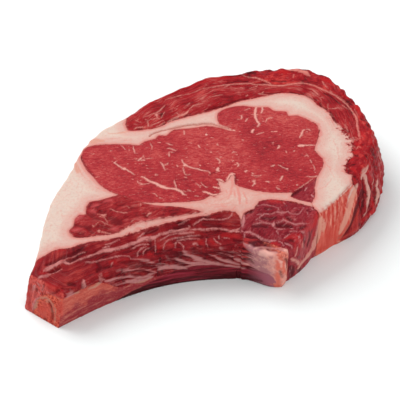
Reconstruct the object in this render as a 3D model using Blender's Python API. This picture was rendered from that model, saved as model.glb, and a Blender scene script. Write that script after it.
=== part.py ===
"""Raw bone-in ribeye steak, lying flat on one of its cut faces.

The steak is a slice across the back of the animal, so every muscle, fat seam and bone in it
runs straight through from the lower cut face to the upper one. The plan is drawn as a map:
each border that two pieces share is one named line, and a piece is the area between its
borders, raised to the height of the upper face. All lengths are millimetres until the meshes
are written, X runs along the steak, the rib lies on the -Y side, and Z is up.
"""
import bmesh
import bpy
from mathutils import Vector
from mathutils.geometry import delaunay_2d_cdt, intersect_point_line

MILLIMETRE = 0.001

BODY_THICKNESS = 35.0
TAIL_THINNING = 7.5
SAWN_END_THINNING = 4.0
RIB_END_THICKNESS = 23.5
CHINE_THICKNESS = 25.5
RIB_SLOPE_WIDTH = 24.0

RIB_WIDTH = 17.0
RIB_WIDTH_CHINE = 12.5
RIB_FACE_HEIGHT = 21.0
RIB_FACE_HEIGHT_COVERED = 7.5

END_SLANT = 5.2
CAP_BULGE = 8.6
BULGE_DEPTH = 18.0
BULGE_HEIGHT = 5.0

GAP = 0.3
RIM_DROP = 0.5
OUTLINE_STEP = 3.6
TOP_STEP = 5.2


# Borders of the plan. Each runs from one meeting point to another, through the points between.
BORDERS = {
    "cover_wall": [(-113, -6.4), (-106.2, 0.8), (-98.8, 8.6), (-91, 17), (-81, 25), (-70.5, 31),
                   (-60, 37.6), (-54.5, 42), (-49, 45.3)],
    "seam_wall_top": [(-49, 45.3), (-40, 48.8), (-30, 51.1), (-20, 51.5), (-13.5, 51.9)],
    "cap_wall": [(-13.5, 51.9), (-5, 53.7), (4, 54.9)],
    "outer_cap_wall": [(4, 54.9), (15, 55.3), (26, 54.3), (34, 53.5), (42, 53.6), (48, 51.2),
                       (55, 46.8), (62, 43.6)],
    "edge_cap_wall": [(62, 43.6), (67, 43.2), (79, 36.5), (92, 27.5), (96, 23.5), (97.8, 17.5),
                      (101, 12.5), (102.2, 5), (101.2, -9), (99.6, -20), (95.2, -32), (88.8, -45.2),
                      (82, -51.5), (74.5, -57), (65, -62.2), (55.5, -65.8)],
    "seam_wall_low": [(55.5, -65.8), (46, -69.2), (38, -71.6), (30.5, -73.6), (25.5, -73.6)],
    "chine_wall": [(25.5, -73.6), (22.5, -73.4), (18.5, -75.2), (12.5, -77), (6.5, -78), (1.2, -78.6)],
    "knuckle_wall": [(1.2, -78.6), (-3.4, -80.4), (-9, -75.8), (-12.2, -70.2), (-17.2, -62.6)],
    "rib_wall": [(-17.2, -62.6), (-28, -55.2), (-41, -47.8), (-54, -42.2), (-66, -38.6),
                 (-80, -35.8), (-95, -34.2), (-112, -33.4)],
    "end_lower": [(-112, -33.4), (-116.3, -20.8)],
    "end_upper": [(-116.3, -20.8), (-119.4, -11.5)],
    "tail_wall": [(-119.4, -11.5), (-116.6, -9.2), (-113, -6.4)],
    "cover_seam": [(-49, 45.3), (-49.6, 43.5)],
    "cover_eye": [(-49.6, 43.5), (-53.4, 40), (-55.9, 31), (-56.3, 24), (-56.5, 15), (-55, 8),
                  (-52.6, 2.8)],
    "side_eye": [(-52.6, 2.8), (-49.6, -3.6), (-46.5, -10.3)],
    "cover_side": [(-52.6, 2.8), (-58, 4.6), (-63.4, 6.4), (-68, 8.9), (-71.4, 6.8), (-74.4, 2.5),
                   (-77, 4.8), (-80.6, 4), (-84, 0.2), (-87.8, -1), (-88.4, -6), (-84, -10),
                   (-75.6, -14.6), (-68, -18.4), (-60.5, -18.9), (-53, -21), (-45, -24.6),
                   (-34.5, -30), (-24, -35)],
    "side_kernel": [(-24, -35), (-30, -28), (-38.5, -19.8), (-43, -15.2), (-46.5, -10.3)],
    "eye_kernel": [(-46.5, -10.3), (-40, -15.4), (-32, -21.6), (-24, -26.8), (-18, -29.2),
                   (-14, -28.2), (-11.6, -30.6), (-7.4, -29.4), (-5.6, -25), (-3.4, -21.8),
                   (-1.6, -24.9), (2, -24.2), (5.8, -21.8), (5.4, -25), (2.4, -29.6), (5, -35.4),
                   (11, -43.4), (17, -48.4), (24, -53.2)],
    "kernel_corner": [(24, -53.2), (20.8, -55), (22.6, -59), (27.4, -65.4)],
    "eye_corner": [(24, -53.2), (32, -52.9), (41.5, -52)],
    "corner_seam": [(41.5, -52), (36, -57), (31.6, -62.8), (27.4, -65.4)],
    "kernel_seam": [(27.4, -65.4), (25.9, -68)],
    "kernel_chine": [(25.9, -68), (21.6, -61.6), (16.6, -55.4), (11, -50.4), (5, -48), (-0.4, -50),
                     (-6, -48.5), (-9.4, -51)],
    "chine_seam": [(25.9, -68), (25.5, -73.6)],
    "kernel_upper": [(-21.5, -38.7), (-14, -41.5), (-9.4, -45.6), (-9.4, -51)],
    "kernel_cover": [(-24, -35), (-21.5, -38.7)],
    "cover_upper": [(-113, -6.4), (-103, -6.9), (-98.6, -8.4), (-95, -11), (-87, -12.7),
                    (-77, -17.4), (-66, -21.8), (-52, -25.6), (-38, -31), (-21.5, -38.7)],
    "upper_lower": [(-116.3, -20.8), (-110, -19.2), (-96, -19.6), (-80, -22.4), (-64, -27.8),
                    (-53, -32), (-40, -35.8), (-29, -42.4), (-13.4, -54)],
    "upper_chine": [(-9.4, -51), (-13.4, -54)],
    "lower_chine": [(-13.4, -54), (-13.2, -58.4)],
    "knuckle_chine": [(-13.2, -58.4), (-6.4, -68), (1.2, -78.6)],
    "lower_knuckle": [(-13.2, -58.4), (-17.2, -62.6)],
    "seam_eye": [(-49.6, 43.5), (-46, 44.4), (-40, 41.4), (-31.5, 35), (-27, 31.4), (-22.6, 27.2),
                 (-18, 27.9), (-12, 26.2), (-9, 27.6), (-5.6, 24.6), (0.5, 26.3), (8, 22),
                 (17.5, 17.8), (23.3, 11.4), (27, 5), (27.4, 10), (24.7, 15), (29.6, 23),
                 (37.5, 23.2), (45, 19.6), (50.6, 13.8), (56.2, 10.2), (56.8, 5.8), (62.2, 0.8),
                 (60.8, -2.6), (65.6, -6.2), (69, -16), (68.2, -21.6), (61.5, -28.4), (54.6, -34),
                 (54.2, -42), (50, -47), (41.5, -52)],
    "seam_cap": [(-13.5, 51.9), (-18.4, 46.8), (-20.6, 41), (-14, 36.6), (-5, 33.4), (5, 32.8),
                 (20, 29), (34, 25.6), (46, 24), (60, 18.8), (69, 16), (77, 9.4), (80.8, 1.4),
                 (80.4, -6), (81.8, -13), (79.3, -21.4), (78.6, -33), (76.6, -41.6)],
    "seam_edge": [(76.6, -41.6), (71.2, -46.2), (70, -50.2), (65, -51.4), (57.8, -55.8),
                  (58.6, -61.4), (55.5, -65.8)],
    "cap_outer": [(4, 54.9), (11, 50.8), (24, 47), (35, 45), (47, 39.4), (60, 31.9), (70.4, 25)],
    "cap_edge": [(70.4, 25), (80, 17.6), (88.6, 10), (92.8, -0.6), (94.4, -12), (91.4, -23),
                 (84.8, -33.8), (76.6, -41.6)],
    "outer_edge": [(70.4, 25), (66.2, 33.6), (62, 43.6)],
}

# Free edge of the steak on the cap side, walked from the tail to the corner below the cap.
FREE_WALLS = ["outer_cap_wall", "edge_cap_wall", "seam_wall_low"]


def smooth(start, end, value):
    """Ease from 0 at start to 1 at end."""
    t = min(1.0, max(0.0, (value - start) / (end - start)))
    return t * t * (3.0 - 2.0 * t)


def curve(points):
    """Points about OUTLINE_STEP apart on a smooth curve through the given ones."""
    knots = [Vector(p) for p in points]
    before = 2 * knots[0] - knots[1]
    after = 2 * knots[-1] - knots[-2]
    knots = [before] + knots + [after]
    line = []
    for a, b, c, d in zip(knots, knots[1:], knots[2:], knots[3:]):
        count = max(1, round((c - b).length / OUTLINE_STEP))
        for i in range(count):
            t = i / count
            line.append(0.5 * (2 * b + (c - a) * t + (2 * a - 5 * b + 4 * c - d) * t ** 2
                               + (3 * b - a - 3 * c + d) * t ** 3))
    return line + [knots[-2]]


LINES = {name: curve(points) for name, points in BORDERS.items()}


def outline(*names):
    """Closed ring of border points, walked in the order given; a minus sign walks one back."""
    ring = []
    for name in names:
        line = LINES[name.lstrip("-")]
        ring += (line[::-1] if name.startswith("-") else line)[:-1]
    turn = sum(a.x * b.y - b.x * a.y for a, b in zip(ring, ring[1:] + ring[:1]))
    return ring if turn > 0 else ring[::-1]


def shrink(ring, by):
    """The ring moved inwards, square to its sides, so that neighbours keep a gap."""
    moved = []
    for a, b, c in zip(ring[-1:] + ring[:-1], ring, ring[1:] + ring[:1]):
        into = Vector((a.y - b.y, b.x - a.x)).normalized()
        out = Vector((b.y - c.y, c.x - b.x)).normalized()
        mean = (into + out).normalized()
        moved.append(b + mean * by / max(0.35, mean.dot(into)))
    return moved


def nearest(line, x, y):
    """Distance from a point to a line of points, with the step and share where it is nearest."""
    point = Vector((x, y))
    best = (1e9, 0, 0.0)
    for i, (a, b) in enumerate(zip(line, line[1:])):
        share = min(1.0, max(0.0, intersect_point_line(point, a, b)[1]))
        best = min(best, ((point - a.lerp(b, share)).length, i, share))
    return best


def top_height(x, y):
    """Height of the upper cut face: level over the eye and cap, lower along the rib."""
    body = BODY_THICKNESS - TAIL_THINNING * smooth(-20, -115, x)
    body -= SAWN_END_THINNING * smooth(-100, -120, x)
    rib = RIB_END_THICKNESS + (CHINE_THICKNESS - RIB_END_THICKNESS) * smooth(-80, -5, x)
    foot = min(nearest(LINES["rib_wall"], x, y)[0], nearest(LINES["knuckle_wall"], x, y)[0])
    return rib + (body - rib) * smooth(0, RIB_SLOPE_WIDTH, foot)


FREE_EDGE = [p for name in FREE_WALLS for p in LINES[name][:-1]]


def free_edge_side(i):
    """Outward direction of the free edge at its point i."""
    along = FREE_EDGE[min(i + 1, len(FREE_EDGE) - 1)] - FREE_EDGE[max(i - 1, 0)]
    return Vector((-along.y, along.x)).normalized()


def settle(x, y, z):
    """Move a point as the meat sags: the cap side spreads at its foot, the sawn end slants."""
    slant = END_SLANT * smooth(-95, -112, x) * (1.0 - z / RIB_END_THICKNESS)
    bulge = CAP_BULGE * smooth(30, 58, x) * smooth(28, -62, y)
    if bulge > 0.01:
        distance, i, share = nearest(FREE_EDGE, x, y)
        side = free_edge_side(i).lerp(free_edge_side(i + 1), share)
        rise = max(0.0, (z - BULGE_HEIGHT) / (BODY_THICKNESS - BULGE_HEIGHT))
        foot = 1.0 - rise ** 1.6 if z > BULGE_HEIGHT else 0.85 + 0.15 * z / BULGE_HEIGHT
        push = side * bulge * max(0.0, foot) * (1.0 - smooth(0, BULGE_DEPTH, distance))
        x, y = x + push.x, y + push.y
    return Vector((x - slant, y, z)) * MILLIMETRE


def material(name, colour, roughness):
    """Plain surface of one sRGB colour."""
    linear = [int(colour[i:i + 2], 16) / 255 for i in (0, 2, 4)]
    linear = [c / 12.92 if c <= 0.04045 else ((c + 0.055) / 1.055) ** 2.4 for c in linear]
    made = bpy.data.materials.new(name)
    made.use_nodes = True
    shader = made.node_tree.nodes["Principled BSDF"]
    shader.inputs["Base Color"].default_value = (*linear, 1.0)
    shader.inputs["Roughness"].default_value = roughness
    shader.inputs["Metallic"].default_value = 0.0
    return made


def inside(ring, x, y):
    """Whether a point lies inside a closed ring."""
    hit = False
    for a, b in zip(ring, ring[1:] + ring[:1]):
        if (a.y > y) != (b.y > y) and x < a.x + (y - a.y) * (b.x - a.x) / (b.y - a.y):
            hit = not hit
    return hit


def top_points(ring):
    """Evenly spread points of the upper face, clear of the ring."""
    closed = ring + ring[:1]
    found = []
    for row in range(-26, 26):
        for column in range(-32, 32):
            x = (column + 0.5 * (row % 2)) * TOP_STEP
            y = row * TOP_STEP * 0.87
            if inside(ring, x, y) and nearest(closed, x, y)[0] > 0.4 * TOP_STEP:
                found.append(Vector((x, y)))
    return found


def triangles(ring, extra):
    """Triangles filling a ring, as triples of indices into ring + extra."""
    points = ring + extra
    result = delaunay_2d_cdt(points, [], [list(range(len(ring)))], 1, 1e-5)
    source = [ids[0] for ids in result[3]]
    return [[source[i] for i in face] for face in result[2]]


def write(name, verts, faces, finish):
    """One named object from points in millimetres, already settled."""
    mesh = bpy.data.meshes.new(name)
    mesh.from_pydata([settle(*v) for v in verts], [], faces)
    mesh.materials.append(finish)
    made = bpy.data.objects.new(name, mesh)
    bpy.context.collection.objects.link(made)
    build = bmesh.new()
    build.from_mesh(mesh)
    bmesh.ops.recalc_face_normals(build, faces=build.faces)
    build.to_mesh(mesh)
    build.free()
    return made


def pillar(name, borders, finish, dome=0.0, levels=(0.0, 1.0)):
    """A piece that runs through the steak, from the table up to the upper cut face."""
    ring = shrink(outline(*borders), GAP / 2)
    extra = top_points(ring)
    count = len(ring)
    verts = []
    for level in levels:
        verts += [(p.x, p.y, level * (top_height(p.x, p.y) - RIM_DROP)) for p in ring]
    for p in extra:
        rise = dome * smooth(0, 12, nearest(ring + ring[:1], p.x, p.y)[0])
        verts.append((p.x, p.y, top_height(p.x, p.y) + rise))
    rim = (len(levels) - 1) * count
    faces = [face[::-1] for face in triangles(ring, [])]
    faces += [[i + rim for i in face] for face in triangles(ring, extra)]
    for level in range(len(levels) - 1):
        low = level * count
        for i in range(count):
            j = (i + 1) % count
            faces.append([low + i, low + j, low + count + j, low + count + i])
    return write(name, verts, faces, finish)


def rib_section(along, grow):
    """Points across the rib: distance in from the rib wall, and height."""
    covered = smooth(0.2, 0.36, along)
    face = RIB_FACE_HEIGHT + (RIB_FACE_HEIGHT_COVERED - RIB_FACE_HEIGHT) * covered
    width = RIB_WIDTH + (RIB_WIDTH_CHINE - RIB_WIDTH) * smooth(0.0, 1.0, along)
    crown = 19.2 - 4.2 * covered
    width, face, crown = width + grow, face + grow, crown + grow
    front, step = (2.0, face) if grow else (0.0, 0.5 * face)
    return [(-front, -front), (-front, step), (0.0, face), (0.16 * width, (face + 2 * crown) / 3),
            (0.32 * width, crown), (0.58 * width, 0.93 * crown), (0.8 * width, 0.76 * crown),
            (0.95 * width, 0.52 * crown), (width, 0.3 * crown), (width, -front)]


def rib(name, finish, grow=0.0):
    """The curved rib along the rib wall, or with grow the slightly larger cutter for it."""
    wall = LINES["rib_wall"][::-1][:-1]
    end = (LINES["end_upper"][-1] - LINES["end_lower"][0]).normalized()
    last = len(wall) - 1
    stations = []
    for i, p in enumerate(wall):
        ahead = (wall[min(i + 1, last)] - wall[max(i - 1, 0)]).normalized()
        inward = end.lerp(Vector((-ahead.y, ahead.x)), smooth(0, 4, i)).normalized()
        foot = p + ahead * (grow if i == last else 0.0)
        stations.append((foot, inward, i / last))
        if grow and i == 0:
            stations.insert(0, (foot - 3.0 * ahead, inward, 0.0))
    verts, faces = [], []
    for foot, inward, along in stations:
        for across, height in rib_section(along, grow):
            verts.append((*(foot + inward * across), height))
    size = len(verts) // len(stations)
    last = len(stations) - 1
    for i in range(last):
        for k in range(size):
            m = (k + 1) % size
            faces.append([i * size + k, i * size + m, (i + 1) * size + m])
            faces.append([i * size + k, (i + 1) * size + m, (i + 1) * size + k])
    faces.append(list(range(size))[::-1])
    faces.append([last * size + k for k in range(size)])
    return write(name, verts, faces, finish)


def carve(piece, cutter):
    """Cut the rib's room out of a piece that lies over it, and apply the cut."""
    cut = piece.modifiers.new("rib_room", "BOOLEAN")
    cut.operation = "DIFFERENCE"
    cut.solver = "EXACT"
    cut.object = cutter
    bpy.context.view_layer.objects.active = piece
    bpy.ops.object.modifier_apply(modifier=cut.name)
    build = bmesh.new()
    build.from_mesh(piece.data)
    bmesh.ops.remove_doubles(build, verts=build.verts, dist=0.05 * MILLIMETRE)
    bmesh.ops.dissolve_degenerate(build, dist=0.02 * MILLIMETRE, edges=build.edges)
    bmesh.ops.triangulate(build, faces=build.faces)
    build.to_mesh(piece.data)
    build.free()


def muscles():
    """The lean pieces, each one muscle of the slice."""
    lean = material("lean", "B0343A", 0.38)
    dark_lean = material("dark_lean", "8E1F2E", 0.38)
    sagging = (0.0, 0.15, 0.42, 0.72, 1.0)
    pillar("eye_muscle", ["seam_eye", "-eye_corner", "-eye_kernel", "-side_eye", "-cover_eye"],
           lean, dome=0.6)
    pillar("corner_muscle", ["eye_corner", "corner_seam", "-kernel_corner"], dark_lean)
    pillar("cap_muscle", ["cap_wall", "cap_outer", "cap_edge", "-seam_cap"],
           lean, dome=0.5, levels=sagging)
    pillar("outer_cap_muscle", ["outer_cap_wall", "-outer_edge", "-cap_outer"],
           lean, dome=0.3, levels=sagging)
    pillar("edge_cap_muscle", ["edge_cap_wall", "-seam_edge", "-cap_edge", "outer_edge"],
           lean, dome=0.3, levels=sagging)
    pillar("side_muscle", ["cover_side", "side_kernel", "-side_eye"], lean, dome=0.5)
    pillar("chine_muscle", ["-kernel_chine", "chine_seam", "chine_wall", "-knuckle_chine",
                            "-lower_chine", "-upper_chine"], dark_lean, dome=0.4)


def fats():
    """The three large pieces of fat: the cover, the seam round the eye, and the kernel."""
    fat = material("fat", "EBC9BB", 0.45)
    pillar("cover_fat", ["cover_wall", "cover_seam", "cover_eye", "cover_side", "kernel_cover",
                         "-cover_upper"], fat)
    pillar("seam_fat", ["seam_wall_top", "seam_cap", "seam_edge", "seam_wall_low", "-chine_seam",
                        "-kernel_seam", "-corner_seam", "-seam_eye", "-cover_seam"],
           fat, levels=(0.0, 0.15, 0.42, 0.72, 1.0))
    pillar("kernel_fat", ["eye_kernel", "kernel_corner", "kernel_seam", "kernel_chine",
                          "-kernel_upper", "-kernel_cover", "side_kernel"], fat)


def rib_side():
    """The rib, the chine's knuckle, and the two muscles that lie over the rib."""
    bone = material("bone", "C8705E", 0.5)
    rib_lean = material("rib_lean", "8B1A25", 0.36)
    upper = pillar("upper_rib_muscle", ["cover_upper", "kernel_upper", "upper_chine",
                                        "-upper_lower", "end_upper", "tail_wall"], rib_lean)
    lower = pillar("lower_rib_muscle", ["upper_lower", "lower_chine", "lower_knuckle", "rib_wall",
                                        "end_lower"], rib_lean)
    pillar("chine_bone", ["-lower_knuckle", "knuckle_chine", "knuckle_wall"], bone)
    cutter = rib("rib_cutter", bone, grow=GAP)
    carve(upper, cutter)
    carve(lower, cutter)
    bpy.data.objects.remove(cutter)
    rib("rib_bone", bone)


def centre_all():
    """Put the origin at the bottom centre of the whole steak's box."""
    pieces = [o for o in bpy.context.scene.objects if o.type == "MESH"]
    spots = [v.co for o in pieces for v in o.data.vertices]
    middle = Vector([(min(c[i] for c in spots) + max(c[i] for c in spots)) / 2 for i in (0, 1)])
    print("plan middle in millimetres", [round(c / MILLIMETRE, 3) for c in middle])
    for piece in pieces:
        for vert in piece.data.vertices:
            vert.co -= Vector((middle.x, middle.y, 0.0))


for old in list(bpy.data.objects):
    bpy.data.objects.remove(old)
muscles()
fats()
rib_side()
centre_all()
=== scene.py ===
"""Raw bone-in ribeye steak: the finished look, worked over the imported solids.

Every solid gets a fine closed copy that takes its place. The copies are shaped by shared maps of
the plan, so that neighbours stay flush. What a spot looks like follows from how far it lies from
the border of fat and lean, from the lines of marbling, fascia and stain, and from its muscle.
"""

import math

import bmesh
import bpy
import numpy as np
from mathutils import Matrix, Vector, noise
from mathutils.bvhtree import BVHTree


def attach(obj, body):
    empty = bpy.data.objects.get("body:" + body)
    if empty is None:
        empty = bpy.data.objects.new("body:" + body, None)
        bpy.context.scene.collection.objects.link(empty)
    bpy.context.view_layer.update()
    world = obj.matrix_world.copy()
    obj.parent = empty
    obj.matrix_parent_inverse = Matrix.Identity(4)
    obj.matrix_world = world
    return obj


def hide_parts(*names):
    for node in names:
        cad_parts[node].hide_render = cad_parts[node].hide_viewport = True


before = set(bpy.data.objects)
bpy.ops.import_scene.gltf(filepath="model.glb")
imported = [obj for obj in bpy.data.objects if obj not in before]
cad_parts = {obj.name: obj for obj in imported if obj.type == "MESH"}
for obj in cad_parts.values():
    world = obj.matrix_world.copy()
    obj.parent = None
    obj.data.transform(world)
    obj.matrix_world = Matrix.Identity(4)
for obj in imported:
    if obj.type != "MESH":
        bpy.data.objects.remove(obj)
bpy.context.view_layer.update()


# The cut. One slice through the back at a rib, with two nearly level cut faces that go through
# every muscle and seam alike. The maps here say how high the upper face lies and how far in from
# the rim a place is. All pieces are shaped from them, in mm.
MM = 0.001
FAT_NODES = ["cover_fat", "seam_fat", "kernel_fat"]


def rim_of(node):
    """The edges between a solid's upper face and its walls, as pairs of plan points."""
    shell = bmesh.new()
    shell.from_mesh(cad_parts[node].data)
    bmesh.ops.remove_doubles(shell, verts=shell.verts, dist=0.00001)
    rim = []
    for edge in shell.edges:
        up = [face.normal.z > 0.5 for face in edge.link_faces]
        if len(up) == 2 and up[0] != up[1]:
            rim.append([(v.co.x / MM, v.co.y / MM) for v in edge.verts])
    shell.free()
    return np.array(rim)


def apart(points, a, b):
    """How far points lie from the line between a and b, and how far along it they are."""
    along = b - a
    share = np.clip((points - a) @ along / max(along @ along, 1e-9), 0, 1)
    return np.sqrt(((points - a - share[..., None] * along) ** 2).sum(axis=-1)), share


def blur(values, passes):
    """Soften a map by averaging each cell with its neighbours."""
    for _ in range(passes):
        for axis in (0, 1):
            values = (np.roll(values, 1, axis) + 2 * values + np.roll(values, -1, axis)) / 4
    return values


def ease(start, end, value):
    """Smooth step from 0 at start to 1 at end."""
    share = np.clip((value - start) / (end - start), 0, 1)
    return share * share * (3 - 2 * share)


rims = {node: rim_of(node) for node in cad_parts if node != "rib_bone"}
fat_rims = np.concatenate([rims[node] for node in FAT_NODES])
lean_rims = np.concatenate([rims[node] for node in rims if node not in FAT_NODES])

CELL = 0.5  # of the maps
map_x = np.arange(-128.0, 128.0, CELL)
map_y = np.arange(-82.0, 82.0, CELL)
map_points = np.stack(np.meshgrid(map_x, map_y), -1)
corners, triangles, triangle_is_fat = [], [], []
for node in rims:
    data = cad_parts[node].data
    first = len(corners)
    corners += [v.co for v in data.vertices]
    triangles += [[first + i for i in face.vertices] for face in data.polygons]
    triangle_is_fat += [node in FAT_NODES] * len(data.polygons)
solids = BVHTree.FromPolygons(corners, triangles)
height_map = np.zeros((len(map_y), len(map_x)))
covered = np.zeros_like(height_map)
in_fat = np.zeros_like(height_map)
for row, y in enumerate(map_y):
    for column, x in enumerate(map_x):
        hit, normal, face, _ = solids.ray_cast(Vector((x * MM, y * MM, 0.1)), Vector((0, 0, -1)))
        if hit and hit.z > 0.02 and normal.z > 0.5:
            height_map[row, column] = hit.z / MM
            covered[row, column] = 1.0
            in_fat[row, column] = triangle_is_fat[face]
height_map = blur(height_map * covered, 60) / np.maximum(blur(covered, 60), 1e-4) + 0.1
covered = (blur(covered, 3) > 0.5).astype(float)


def read(values, points):
    """Value of a map at each point's place in the plan, smoothly between its cells."""
    x = np.clip((points[:, 0] - map_x[0]) / CELL, 0, len(map_x) - 1.001)
    y = np.clip((points[:, 1] - map_y[0]) / CELL, 0, len(map_y) - 1.001)
    column, row = x.astype(int), y.astype(int)
    x, y = x - column, y - row
    low = values[row, column] * (1 - x) + values[row, column + 1] * x
    high = values[row + 1, column] * (1 - x) + values[row + 1, column + 1] * x
    return low * (1 - y) + high * y


def reach_map(edges, limit):
    """Map of the distance in plan to the nearest edge, and no more than the limit."""
    found = np.full(covered.shape, float(limit))
    for a, b in edges:
        low, high = np.minimum(a, b) - limit, np.maximum(a, b) + limit
        columns = slice(*np.searchsorted(map_x, (low[0], high[0])))
        rows = slice(*np.searchsorted(map_y, (low[1], high[1])))
        gap, _ = apart(map_points[rows, columns], a, b)
        found[rows, columns] = np.minimum(found[rows, columns], gap)
    return found


all_rims = np.concatenate([fat_rims, lean_rims])
middle, run = all_rims.mean(axis=1), all_rims[:, 1] - all_rims[:, 0]
length = np.maximum(np.hypot(run[:, 0], run[:, 1]), 1e-6)
beside = np.stack([run[:, 1], -run[:, 0]], axis=1) / length[:, None]
on_one_side, on_other_side = read(covered, middle + beside), read(covered, middle - beside)
outer_rims = all_rims[np.minimum(on_one_side, on_other_side) < 0.5]
inset_map = np.where(blur(covered, 1) > 0.5, 1, -1) * reach_map(outer_rims, 34.0)
soft_inset_map = blur(inset_map, 15)
slope_y, slope_x = np.gradient(soft_inset_map, CELL)
DEEPEST_FAT = 9.0  # mm from a border, past which fat and lean no longer change
to_lean_map, to_fat_map = reach_map(lean_rims, DEEPEST_FAT), reach_map(fat_rims, DEEPEST_FAT)
fat_map = np.where(in_fat > 0.5, to_lean_map, -to_fat_map)


# The rib: a curved bone under the rib muscles, sawn off square at the left. Its outer face is
# scraped to a tan film near the saw cut, and further in it keeps a smooth wine-red membrane.
def fine_copy(node, grain=0.8):
    """A closed, finely meshed copy of one solid, swollen a little so that it meets the next."""
    piece = bpy.data.objects.new(node + "_meat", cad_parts[node].data.copy())
    bpy.context.collection.objects.link(piece)
    bpy.ops.object.select_all(action="DESELECT")
    piece.select_set(True)
    bpy.context.view_layer.objects.active = piece
    bpy.ops.object.mode_set(mode="EDIT")
    bpy.ops.mesh.select_all(action="SELECT")
    bpy.ops.mesh.remove_doubles(threshold=0.00001)
    bpy.ops.object.mode_set(mode="OBJECT")
    swell = piece.modifiers.new("swell", "DISPLACE")
    swell.strength = 0.45 * MM
    swell.mid_level = 0.0
    voxels = piece.modifiers.new("voxels", "REMESH")
    voxels.mode = "VOXEL"
    voxels.voxel_size = grain * MM
    soften = piece.modifiers.new("soften", "SMOOTH")
    soften.factor = 0.5
    soften.iterations = 3
    for modifier in ["swell", "voxels", "soften"]:
        bpy.ops.object.modifier_apply(modifier=modifier)
    faces = piece.data.polygons
    normals, centres = np.zeros(len(faces) * 3), np.zeros(len(faces) * 3)
    faces.foreach_get("normal", normals)
    faces.foreach_get("center", centres)
    normals, centres = normals.reshape(-1, 3), centres.reshape(-1, 3) / MM
    on_top = (normals[:, 2] > 0.5) & (centres[:, 2] > 0.7 * read(height_map, centres))
    on_wall = (read(inset_map, centres) < 1.0) & (abs(normals[:, 2]) <= 0.7)
    bpy.ops.object.mode_set(mode="EDIT")
    bpy.ops.mesh.select_mode(type="FACE")
    bpy.ops.mesh.select_all(action="DESELECT")
    bpy.ops.object.mode_set(mode="OBJECT")
    faces.foreach_set("select", on_top | on_wall)
    bpy.ops.object.mode_set(mode="EDIT")
    bpy.ops.mesh.subdivide(number_cuts=1, smoothness=0)
    bpy.ops.object.mode_set(mode="OBJECT")
    return piece


def places(piece):
    """Places of a piece's points, in mm."""
    found = np.zeros(len(piece.data.vertices) * 3)
    piece.data.vertices.foreach_get("co", found)
    return found.reshape(-1, 3) / MM


def facings(piece):
    """Directions that a piece's surface faces at its points."""
    found = np.zeros(len(piece.data.vertices) * 3)
    piece.data.vertices.foreach_get("normal", found)
    return found.reshape(-1, 3)


def lumps(points, size, seed=0.0):
    """Smooth noise from about -1 to 1, with lumps of a size in mm, or a size for each axis."""
    return np.array([noise.noise(p) for p in (points / np.array(size) + seed).tolist()])


def inside(points, lines):
    """Depth in mm inside the nearest of some drawn lines, or as a negative number how far off.

    Each line is a width and its points, two numbers each for a line that runs down through the
    whole cut, or three for one on a wall. A line is thinner towards its ends and wanders a bit.
    """
    reach = 4.0
    depth = np.full(len(points), -reach)
    if not lines:
        return depth
    wander = np.stack([lumps(points, (3, 3, 12), seed) for seed in (3.0, 9.0, 17.0)], axis=1)
    wandered = points + 0.4 * wander
    for width, line in lines:
        line = np.array(line, float)
        steps = np.sqrt((np.diff(line, axis=0) ** 2).sum(axis=1))
        runs = np.concatenate([[0], np.cumsum(steps)]) / steps.sum()
        spots = wandered[:, :line.shape[1]]
        low, high = line.min(axis=0) - reach, line.max(axis=0) + reach
        near = np.flatnonzero(np.all((spots > low) & (spots < high), axis=1))
        for a, b, begin, end in zip(line, line[1:], runs, runs[1:]):
            gap, share = apart(spots[near], a, b)
            along = np.clip(begin + (end - begin) * share, 0, 1)
            taper = 0.4 + 0.6 * (4 * along * (1 - along)) ** 0.4
            depth[near] = np.maximum(depth[near], 0.44 * width * taper - gap)
    return depth


def keep(piece, name, values):
    """Store one number, or one vector, for each point of a piece for its material to read."""
    values = np.asarray(values, np.float32)
    kind, field = ("FLOAT", "value") if values.ndim == 1 else ("FLOAT_VECTOR", "vector")
    made = piece.data.attributes.new(name, kind, "POINT")
    made.data.foreach_set(field, values.ravel())


def mark(piece, *groups, hollows=-4.0):
    """Store how deep each point lies in the drawn veins, creases with their painted shade, bright
    spots with their painted highlights, and sheets.

    A group of marks gives the lines of each kind. hollows are creases too, given as a depth, and get
    their painted shade.
    """
    points = places(piece)
    found = {kind: inside(points, [line for group in groups for line in group.get(kind, [])])
             for kind in ("vein", "crease", "flush", "sheet")}
    found["crease"] = np.maximum(found["crease"], hollows)
    for kind, values in found.items():
        keep(piece, kind, values)
    return points, found


def outward(points):
    """The way out of the steak in plan, and 1 at its outer wall down to 0 well inside."""
    way = -np.stack([read(slope_x, points), read(slope_y, points), 0 * points[:, 0]], axis=1)
    way /= np.maximum(np.sqrt((way ** 2).sum(axis=1)), 1e-6)[:, None]
    return way, 1 - ease(0, 7, read(inset_map, points))


MOST_LIFT = 1.2  # more would draw the thin ends of a piece out into spikes


def shape(piece, points, rise=0.0, out=0.0, rounding=1.1, reaches_top=1.0):
    """Lay a piece's upper face on the cut, round its rim, and raise relief on face and wall.

    rise lifts the upper face and out pushes the outer wall, by so many mm at each point.
    """
    height = read(height_map, points)
    high_up = ease(0.55, 0.8, points[:, 2] / height)
    on_top = ease(0.25, 0.65, facings(piece)[:, 2]) * high_up * reaches_top
    edge = np.clip(read(inset_map, points), 0, rounding)
    drop = rounding - np.sqrt(rounding ** 2 - (rounding - edge) ** 2)
    upper = ease(height - 6, height, points[:, 2])
    placed = points.copy()
    placed[:, 2] += on_top * np.clip(height - points[:, 2], -MOST_LIFT, MOST_LIFT)
    placed[:, 2] += upper * (rise - 0.8 * drop)
    way, near_wall = outward(points)
    placed += way * (out * near_wall * ease(0.0, 3.0, points[:, 2]))[:, None]
    placed[:, 2] = np.maximum(placed[:, 2], 0.0)
    piece.data.vertices.foreach_set("co", (placed * MM).ravel())
    piece.data.update()


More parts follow.
